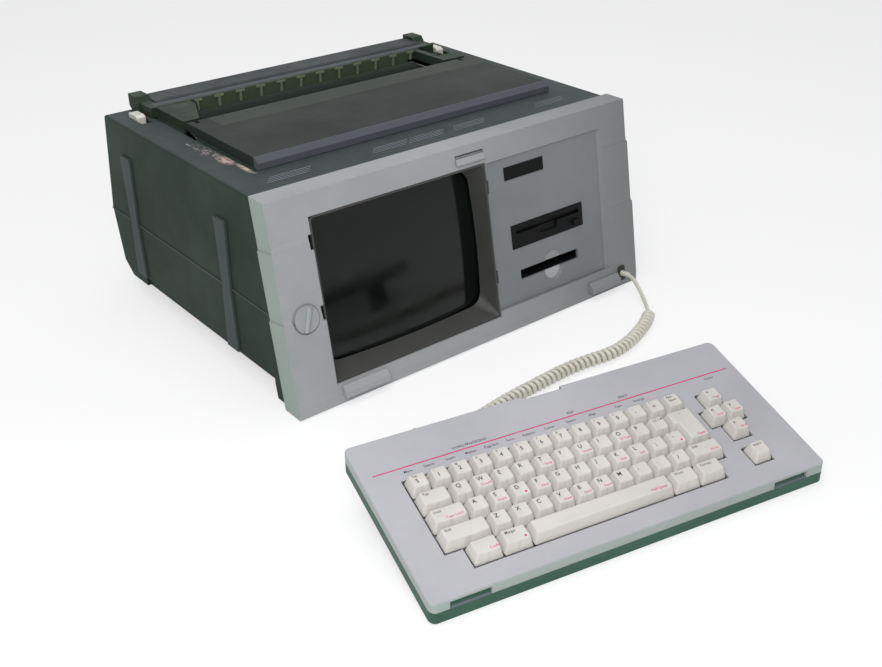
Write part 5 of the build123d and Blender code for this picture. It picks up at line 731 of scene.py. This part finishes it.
# The platen is a rubber roller that is ground smooth: a dark, even face, greener than the feet.
platen_rubber = moulded(
    "ground_rubber_platen", "#161e19", "#1c241f", "#2c322e", depth=0.00002, rough=0.6, wear=0.1, gleam=0.12
)
dress(platen_rubber, "platen")

# ---------------------------------------------------------------- metalwork
# The printer's plates, the drive's chassis, the supply and the motors are cut and folded from zinc
# plated sheet, which has a spangled grey gleam. Rails and screws are ground steel, brighter and plainer.
SPANGLE, SHEET_SCRATCH = 6.25, 4.55         # lengths in mm


def plated(name, tone, shade, rough):
    """Bright plated steel with the mottle of its zinc."""
    material, tree, shader, place = new_material(name)
    spangle = add_node(tree, "ShaderNodeTexVoronoi", {"Vector": place, "Scale": 1000 / SPANGLE})
    mottle = add_node(tree, "ShaderNodeSeparateColor", {0: spangle.outputs["Color"]})
    tint = add_node(
        tree,
        "ShaderNodeMix",
        {0: mottle.outputs[0], 6: linear(tone), 7: linear(shade)},
        data_type="RGBA",
    )
    tree.links.new(tint.outputs[2], shader.inputs["Base Color"])
    shader.inputs["Metallic"].default_value = 1.0
    scratch = add_node(
        tree, "ShaderNodeTexNoise", {"Vector": place, "Scale": 1000 / SHEET_SCRATCH, "Detail": 3.0}
    ).outputs["Fac"]
    gloss = add_node(
        tree, "ShaderNodeMapRange", {0: scratch, 1: 0.3, 2: 0.7, 3: rough - 0.08, 4: rough + 0.1}
    )
    tree.links.new(gloss.outputs[0], shader.inputs["Roughness"])
    softened = add_node(tree, "ShaderNodeBevel", {"Radius": 0.0006}, samples=4).outputs["Normal"]
    relief = add_node(
        tree, "ShaderNodeBump", {"Height": scratch, "Strength": 0.12, "Distance": 0.0001, "Normal": softened}
    )
    tree.links.new(relief.outputs["Normal"], shader.inputs["Normal"])
    return material


zinc = plated("zinc_plated_sheet", "#b5b6b4", "#9fa19f", 0.38)
dress(zinc, "printer_frame", "floppy_drive", "power_supply", "feed_motor", "carriage_motor")
steel = plated("ground_steel", "#c3c4c5", "#b2b3b4", 0.25)
dress(steel, "carriage_rails", "case_screws")

# ---------------------------------------------------------------- boards and windings
# The circuit boards are glass cloth laminate under green solder resist, with a soft gloss. The tube's
# yoke is wound from varnished copper wire, a glossy red-brown. They are inside the case and keyboard.
board_resist = moulded("solder_resist_green", "#1f4d2e", "#1a4427", "#5c7a5f", rough=0.4, wear=0.3)
dress(board_resist, "display_board", "main_board", "keyboard_circuit")
winding = moulded("varnished_copper_wire", "#7a4522", "#5f3519", "#a36a3c", rough=0.4, wear=0.3)
dress(winding, "deflection_yoke")

# ---------------------------------------------------------------- keyboard shells
# The keyboard's upper shell is a pale grey ABS moulding with a finer skin than the case, matt and even; its
# sides carry painted shade with a green cast of bounce light. It closes over a pan of ABS drawn dark
# green-grey, its green a painted cast of bounce light, and two legs of that plastic fold out from under the
# pan's rear.


def painted_green_side_shade(tree, place):
    """Painted shade: the sides of the upper shell, drawn darker and greener than its top, as green bounce
    light tints them.
    """
    normal = add_node(tree, "ShaderNodeNewGeometry").outputs["Normal"]
    upward = add_node(tree, "ShaderNodeSeparateXYZ", {0: normal}).outputs["Z"]
    return add_node(tree, "ShaderNodeMapRange", {0: upward, 1: 0.85, 2: 0.55, 3: 0.0, 4: 0.75}).outputs[0]


shell_abs = moulded(
    "moulded_abs_pale_grey", "#adadb2", "#a3a3a8", "#c0c2c4", grain=0.0013, rough=0.5, dust=0.06, gleam=0.35,
    marks=[(painted_green_side_shade, "#8f9c94")],
)
dress(shell_abs, "keyboard_top", "switch_plate")


def painted_lit_pocket_floors(tree, place):
    """Painted light: the pan's level faces, drawn pale grey as the top light falls on them. Those that show
    are the floors of its front pockets.
    """
    normal = add_node(tree, "ShaderNodeNewGeometry").outputs["Normal"]
    upward = add_node(tree, "ShaderNodeSeparateXYZ", {0: normal}).outputs["Z"]
    return add_node(tree, "ShaderNodeMapRange", {0: upward, 1: 0.5, 2: 0.8, 3: 0.0, 4: 0.85}).outputs[0]


# Painted light: the pan's green-grey tone is a cast of green bounce light, and its level faces are painted a
# lit pale grey.
pan_abs = moulded(
    "moulded_abs_painted_green_cast", "#325848", "#2b4f40", "#7f958a", rough=0.5, wear=0.4, gleam=0.25,
    marks=[(painted_lit_pocket_floors, "#757983")],
)
dress(pan_abs, "keyboard_base", "left_leg", "right_leg")

# ---------------------------------------------------------------- key caps
# Each cap is a tapered cream ABS moulding with rounded corners and a top hollowed across its width. It
# is pressed on to its switch, and the rows follow the usual 19.05 mm pitch.
BOARD_TURN = radians(-12.02)
BOARD_FRONT_LEFT = Vector((-267.388, -298.219, 19.5))
BOARD_RISE, BOARD_DEPTH = 38.8, 159.7
BOARD_SLOPE = atan2(BOARD_RISE, BOARD_DEPTH)
KEY_PITCH = 19.05
KEY_GAP = 1.2
KEY_HEIGHT = 9.0
CAP_FOOT = -1.2
KEY_TAPER = 2.6
CAP_LEAN = 0.8                      # how far a cap's top stands nearer the back than its foot
KEY_DISH = 0.7
DISH_BELOW, DISH_FADE = 1.2, 1.0    # the hollow starts this far under the top and is whole this much higher
CORNER_ROUND, TOP_ROUND = 1.5, 0.85
CAP_CUTS, RETURN_CUTS, RETURN_MARGIN = 7, 9, 3      # cuts across a cap, so that its top can be hollow

across_board = Vector((cos(BOARD_TURN), sin(BOARD_TURN), 0.0))
board_normal = Vector((
    sin(BOARD_TURN) * sin(BOARD_SLOPE),
    -cos(BOARD_TURN) * sin(BOARD_SLOPE),
    cos(BOARD_SLOPE),
))
up_board = board_normal.cross(across_board)
board_frame = Matrix((
    (across_board.x, up_board.x, board_normal.x, BOARD_FRONT_LEFT.x),
    (across_board.y, up_board.y, board_normal.y, BOARD_FRONT_LEFT.y),
    (across_board.z, up_board.z, board_normal.z, BOARD_FRONT_LEFT.z),
    (0.0, 0.0, 0.0, 1000.0),
)) * 0.001

FIRST_KEY = 40.47
HOME_ROW = 66.6
row_t = [HOME_ROW + KEY_PITCH * step for step in (2, 1, 0, -1, -2)]
field_left = FIRST_KEY - KEY_PITCH / 2
field_right = FIRST_KEY + 13.5 * KEY_PITCH
FUNCTION_KEY, SPACE_BAR, BOTTOM_ROW_LEFT = 26.3, 133.35, 46.5
CURSOR_U, CURSOR_T, INSERT_T = 326.3, 79.1, 30.5


def run_of_keys(first_left, row, widths):
    """Keys side by side: middle across, middle up the slope, width and height of each."""
    keys = []
    left = first_left
    for width in widths:
        keys.append((left + width / 2, row_t[row], width, KEY_PITCH))
        left += width
    return keys


tab_width, lock_width, shift_width = 1.5 * KEY_PITCH, 1.75 * KEY_PITCH, 2.25 * KEY_PITCH
right_shift_left = field_left + shift_width + 10 * KEY_PITCH
space_left = BOTTOM_ROW_LEFT + 2 * FUNCTION_KEY
space_right = space_left + SPACE_BAR
return_upper, return_lower = field_left + tab_width + 11 * KEY_PITCH, field_left + lock_width + 11 * KEY_PITCH
key_groups = {
    "number_row_keys": run_of_keys(field_left, 0, [KEY_PITCH] * 14),
    "upper_row_keys": run_of_keys(field_left, 1, [tab_width] + [KEY_PITCH] * 11),
    "home_row_keys": run_of_keys(field_left, 2, [lock_width] + [KEY_PITCH] * 11),
    "lower_row_keys": run_of_keys(field_left + shift_width, 3, [KEY_PITCH] * 10),
    "shift_keys": [
        (field_left + shift_width / 2, row_t[3], shift_width, KEY_PITCH),
        ((right_shift_left + field_right) / 2, row_t[3], field_right - right_shift_left, KEY_PITCH),
    ],
    "space_bar": [((space_left + space_right) / 2, row_t[4], SPACE_BAR, KEY_PITCH)],
    "function_keys": run_of_keys(BOTTOM_ROW_LEFT, 4, [FUNCTION_KEY] * 2)
    + run_of_keys(space_right, 4, [FUNCTION_KEY] * 2)
    + [(CURSOR_U, INSERT_T, KEY_PITCH, KEY_PITCH)],
    "cursor_keys": [
        (CURSOR_U, CURSOR_T + KEY_PITCH, KEY_PITCH, KEY_PITCH),
        (CURSOR_U - KEY_PITCH / 2, CURSOR_T, KEY_PITCH, KEY_PITCH),
        (CURSOR_U + KEY_PITCH / 2, CURSOR_T, KEY_PITCH, KEY_PITCH),
        (CURSOR_U, CURSOR_T - KEY_PITCH, KEY_PITCH, KEY_PITCH),
    ],
}


def cap_top(u, middle, half_top):
    """Height of a cap's hollowed top at one place across it."""
    if not half_top:
        return KEY_HEIGHT
    radius = (half_top**2 + KEY_DISH**2) / (2 * KEY_DISH)
    off = min(abs(u - middle), half_top)
    return KEY_HEIGHT - KEY_DISH + radius - sqrt(radius**2 - off**2)


def half_top_of(name, wide):
    """Half the width of a cap's hollow; the space bar has none."""
    return 0.0 if name == "space_bar" else (wide - KEY_GAP) / 2 - KEY_TAPER


def shape_cap(outline, middle, half_top, cuts):
    """One cap from its outline's corners; each corner also says which way is inwards."""
    mesh = bmesh.new()
    foot = [
        mesh.verts.new((u + du * KEY_GAP / 2, t + dt * KEY_GAP / 2, CAP_FOOT)) for u, t, du, dt in outline
    ]
    base = mesh.faces.new(foot)
    grown = bmesh.ops.extrude_face_region(mesh, geom=[base])
    tops = [item for item in grown["geom"] if isinstance(item, bmesh.types.BMVert)]
    inset = KEY_GAP / 2 + KEY_TAPER
    for vertex in tops:
        here = vertex.co.copy()
        u, t, du, dt = min(outline, key=lambda corner: hypot(corner[0] - here.x, corner[1] - here.y))
        vertex.co = (u + du * inset, t + dt * inset + CAP_LEAN, KEY_HEIGHT)
    uprights = [edge for edge in mesh.edges if edge.verts[0].co.z != edge.verts[1].co.z]
    bmesh.ops.bevel(
        mesh, geom=uprights, offset=CORNER_ROUND, offset_type="OFFSET", segments=3, profile=0.5,
        affect="EDGES", material=-1,
    )
    lid = max(mesh.faces, key=lambda face: face.calc_center_median().z)
    bmesh.ops.bevel(
        mesh, geom=list(lid.edges), offset=TOP_ROUND, offset_type="OFFSET", segments=3, profile=0.5,
        affect="EDGES", material=-1,
    )
    for cut in cuts:
        bmesh.ops.bisect_plane(
            mesh, geom=[*mesh.verts, *mesh.edges, *mesh.faces], plane_co=(cut, 0, 0), plane_no=(1, 0, 0)
        )
    for vertex in mesh.verts:
        share = max(0.0, min(1.0, (vertex.co.z - KEY_HEIGHT + DISH_BELOW) / DISH_FADE))
        vertex.co.z += (cap_top(vertex.co.x, middle, half_top) - KEY_HEIGHT) * share
    bmesh.ops.recalc_face_normals(mesh, faces=mesh.faces)
    return mesh


def box_outline(u, t, wide, tall):
    """The four corners of a plain cap, each with its way inwards."""
    left, right, low, high = u - wide / 2, u + wide / 2, t - tall / 2, t + tall / 2
    return [(left, low, 1, 1), (right, low, -1, 1), (right, high, -1, -1), (left, high, 1, -1)]


def even_cuts(left, right, count):
    """Places that share a width out evenly."""
    return [left + (right - left) * step / (count + 1) for step in range(1, count + 1)]


# Cream ABS, dyed through, with a satin gloss from its fine skin.
key_abs = moulded(
    "moulded_abs_cream_caps", "#cdc9c4", "#c2beb9", "#dad7d2", grain=0.0009, depth=0.00004, rough=0.42,
    wear=0.15, dust=0.05, edge=0.0006, gleam=0.35,
)


def join_on_board(name, meshes, *materials):
    """Several meshes, made in mm on the keyboard's slope, as one object in its place."""
    whole = bmesh.new()
    for mesh in meshes:
        flat = bpy.data.meshes.new(name)
        mesh.to_mesh(flat)
        mesh.free()
        whole.from_mesh(flat)
        bpy.data.meshes.remove(flat)
    bmesh.ops.transform(whole, matrix=board_frame, verts=whole.verts)
    return piece_of(name, whole, *materials)


def place_keys(name, meshes):
    """Join caps into one piece that stands for its CAD node."""
    caps = join_on_board(name + "_caps", meshes, key_abs)
    caps.data.shade_smooth()
    caps.data.set_sharp_from_angle(angle=SMOOTH_UP_TO)
    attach(caps, name)
    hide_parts(name)


for name, keys in key_groups.items():
    shaped = []
    for u, t, wide, tall in keys:
        half_top = half_top_of(name, wide)
        cuts = even_cuts(u - half_top, u + half_top, CAP_CUTS) if half_top else []
        shaped.append(shape_cap(box_outline(u, t, wide, tall), u, half_top, cuts))
    place_keys(name, shaped)

low, step, high = row_t[2] - KEY_PITCH / 2, row_t[1] - KEY_PITCH / 2, row_t[1] + KEY_PITCH / 2
return_outline = [
    (return_lower, low, 1, 1),
    (field_right, low, -1, 1),
    (field_right, high, -1, -1),
    (return_upper, high, 1, -1),
    (return_upper, step, 1, 1),
    (return_lower, step, 1, 1),
]
return_middle = (return_lower + field_right) / 2
return_half = half_top_of("return_key", field_right - return_lower)
return_cuts = even_cuts(return_lower + RETURN_MARGIN, field_right - RETURN_MARGIN, RETURN_CUTS)
place_keys("return_key", [shape_cap(return_outline, return_middle, return_half, return_cuts)])

# ---------------------------------------------------------------- legends
# Letters, numbers and plain key words are pad-printed on the caps in black, with a second use of the
# key in red at its front. Each is a thin layer of ink that follows the hollow of the cap.
INK_LIFT = 0.045
BLACK, RED = 0, 1                           # the inks' places among a printed piece's materials
LARGE_FROM, LARGE_SWELL, SMALL_SWELL = 4, 0.014, 0.006      # share of the size that strokes are swollen by
LETTER_SIZE, WORD_SIZE, FRONT_SIZE = 5.4, 3.5, 3.6
UPPER_SIGN_SIZE, UPPER_WORD_SIZE = 2.9, 3.2
INDENT, DIGIT_SHIFT = 1.9, 1.6              # from the left edge of a cap's top; a digit under its sign
LETTER_BASE, WORD_BASE, UPPER_BASE = 6.0, 4.1, 3.2          # base lines, down from the top's back edge
LETTER_DROP, WORD_DROP = 2.6, 3.0           # how much lower a legend stands under another one
FRONT_BASE, FRONT_INDENT = 7.6, 0.8         # base line, up from the cap's pitch; left of the main legend
FRONT_MARGIN, FRONT_LETTER = 0.4, 1.9       # right margin and mean width of a front word's letters
RED_BLOCK = "#"                             # a front word that is too small to read is a plain block
BLOCK_HALF, BLOCK_IN, BLOCK_UP = 0.9, 6.6, 8.6
INK_PATCH = 5.26                            # length in mm of a fainter patch of ink


def printing_ink(name, tone, faded):
    """A thin matt print that is fainter here and there."""
    material, tree, shader, place = new_material(name)
    patches = add_node(
        tree, "ShaderNodeTexNoise", {"Vector": place, "Scale": 1000 / INK_PATCH, "Detail": 4.0}
    )
    share = add_node(tree, "ShaderNodeMapRange", {0: patches.outputs["Fac"], 1: 0.5, 2: 0.8, 3: 0.0, 4: 0.35})
    ink = add_node(
        tree,
        "ShaderNodeMix",
        {0: share.outputs[0], 6: linear(tone), 7: linear(faded)},
        data_type="RGBA",
    )
    tree.links.new(ink.outputs[2], shader.inputs["Base Color"])
    shader.inputs["Roughness"].default_value = 0.6
    shader.inputs["Specular IOR Level"].default_value = 0.3
    return material


black_ink = printing_ink("pad_print_black", "#17171b", "#5c5a58")
red_ink = printing_ink("pad_print_red", "#c4205c", "#cf7f9b")


def ink_word(words, size, left, base):
    """A word's flat outline as a mesh, from its left end on its base line, in mm."""
    data = bpy.data.curves.new("word", "FONT")
    data.body = words
    data.size = size
    data.offset = size * (LARGE_SWELL if size > LARGE_FROM else SMALL_SWELL)
    data.resolution_u = 3
    shape = bpy.data.objects.new("word", data)
    scene.collection.objects.link(shape)
    flat = bpy.data.meshes.new_from_object(shape.evaluated_get(bpy.context.evaluated_depsgraph_get()))
    bpy.data.objects.remove(shape)
    mesh = bmesh.new()
    mesh.from_mesh(flat)
    bpy.data.meshes.remove(flat)
    bmesh.ops.translate(mesh, verts=mesh.verts, vec=(left, base, 0.0))
    return mesh


def ink_on(name, body, words):
    """Join words into one printed piece; each is a mesh, its ink and a rule for its height."""
    for mesh, ink, height in words:
        for vertex in mesh.verts:
            vertex.co.z = height(vertex.co.x) + INK_LIFT
        for face in mesh.faces:
            face.material_index = ink
    printed = join_on_board(name, [mesh for mesh, ink, height in words], black_ink, red_ink)
    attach(printed, body)


# Per key, in order: the main legend, what stands above it, and the red words at the front.
key_words = {
    "number_row_keys": [
        ("S", "Tab", ""), ("1", "!", ""), ("2", "@", ""), ("3", "#", ""), ("4", "$", ""), ("5", "%", ""),
        ("6", "+", ""), ("7", "&", ""), ("8", "*", ""), ("9", "(", ""), ("0", ")", ""), ("-", "_", ""),
        ("=", "+", ""), ("Space", "Back", ""),
    ],
    "upper_row_keys": [
        ("Tab", "", ""), ("Q", "", ""), ("W", "", "Count"), ("E", "", ""), ("R", "", ""), ("T", "", "Stop"),
        ("Y", "", ""), ("U", "", "Under"), ("I", "", ""), ("O", "", "D Tab"), ("P", "", ""),
        ("1/2 1/4", "", ""),
    ],
    "home_row_keys": [
        ("Lock", "", "Caps Lock"), ("A", "", ""), ("S", "", "Store"), ("D", "", RED_BLOCK), ("F", "", "Find"),
        ("G", "", ""), ("H", "", ""), ("J", "", ""), ("K", "", "Size"), ("L", "", "Left"), (";", ":", ""),
        ("'", "\"", RED_BLOCK),
    ],
    "lower_row_keys": [
        ("Z", "", ""), ("X", "", ""), ("C", "", ""), ("V", "", "View"), ("B", "", "Bold"), ("N", "", "Next"),
        ("M", "", ""), (",", "", ""), (".", "", ""), ("/", "?", ""),
    ],
    "shift_keys": [("Shift", "", ""), ("Shift", "", "Print")],
    "space_bar": [("", "", "Half Space")],
    "function_keys": [
        ("", "", "Code"), ("Margin", "", RED_BLOCK), ("Word", "", ""), ("Correct", "", ""),
        ("Insert", "", ""),
    ],
    "cursor_keys": [("^", "", "Page"), ("<", "", "Line"), (">", "", "Line"), ("v", "", "End")],
    "return_key": [("Return", "", "Paper")],
}
key_groups["return_key"] = [
    ((return_upper + field_right) / 2, (low + high) / 2, field_right - return_upper, high - low)
]
for name, keys in key_groups.items():
    printed_words = []
    for (u, t, wide, tall), (main, above, front) in zip(keys, key_words[name]):
        half_top = half_top_of(name, wide)

        def height(place, middle=u, half=half_top):
            """Height of this key's top at a place across it."""
            return cap_top(place, middle, half)

        left = u - (wide - KEY_GAP) / 2 + KEY_TAPER + INDENT
        back = t + (tall - KEY_GAP) / 2 - KEY_TAPER + CAP_LEAN
        pitch_edge = back - tall
        single = len(main) == 1
        if single:
            size, base, drop = LETTER_SIZE, back - LETTER_BASE, LETTER_DROP
        else:
            size, base, drop = WORD_SIZE, back - WORD_BASE, WORD_DROP
        if main:
            shift = DIGIT_SHIFT if above and single else 0.0
            word = ink_word(main, size, left + shift, base - (drop if above else 0.0))
            printed_words.append((word, BLACK, height))
        if above:
            above_size = UPPER_SIGN_SIZE if len(above) == 1 else UPPER_WORD_SIZE
            printed_words.append((ink_word(above, above_size, left, back - UPPER_BASE), BLACK, height))
        if front == RED_BLOCK:
            block = bmesh.new()
            bmesh.ops.create_grid(block, x_segments=2, y_segments=1, size=BLOCK_HALF)
            corner = (u + wide / 2 - BLOCK_IN, pitch_edge + BLOCK_UP, 0)
            bmesh.ops.translate(block, verts=block.verts, vec=corner)
            printed_words.append((block, RED, height))
        elif front:
            edge = u + (wide - KEY_GAP) / 2 - KEY_TAPER - FRONT_MARGIN - FRONT_LETTER * len(front)
            word = ink_word(front, FRONT_SIZE, max(edge, left - FRONT_INDENT), pitch_edge + FRONT_BASE)
            printed_words.append((word, RED, height))
    ink_on(name + "_legends", name, printed_words)

# The shell carries one red rule above the keys, with the plain names of their second uses beside it.
RULE_T, RULE_FROM, RULE_TO, RULE_WIDE, RULE_CUTS = 127.9, 11.0, 367.0, 1.1, 24
USE_BASE, USE_SIZE = 121.8, 3.6
TITLE_BASE, TITLE_SIZE = 130.6, 3.5
second_uses = {
    "Menu": 36, "Search": 54, "Insert": 74, "Marker": 92, "Page End": 110, "Form": 131, "Relation": 147,
    "Center": 168, "Return": 190, "Align": 213, "Type": 240, "Settings": 260, "Cursor": 338,
}
titles = {"WORD PROCESSING": 84, "EDIT": 196, "PRINT": 250}
rule = bmesh.new()
bmesh.ops.create_grid(rule, x_segments=RULE_CUTS, y_segments=1, size=0.5)
for vertex in rule.verts:
    vertex.co.x = RULE_FROM + (vertex.co.x + 0.5) * (RULE_TO - RULE_FROM)
    vertex.co.y = RULE_T + vertex.co.y * RULE_WIDE


def shell_top(place):
    """Height of the shell's flat top, whatever the place."""
    return 0.0


shell_words = [(rule, RED, shell_top)]
for line, base, size in ((second_uses, USE_BASE, USE_SIZE), (titles, TITLE_BASE, TITLE_SIZE)):
    for word, left in line.items():
        shell_words.append((ink_word(word, size, left, base), BLACK, shell_top))
ink_on("keyboard_print", "keyboard", shell_words)
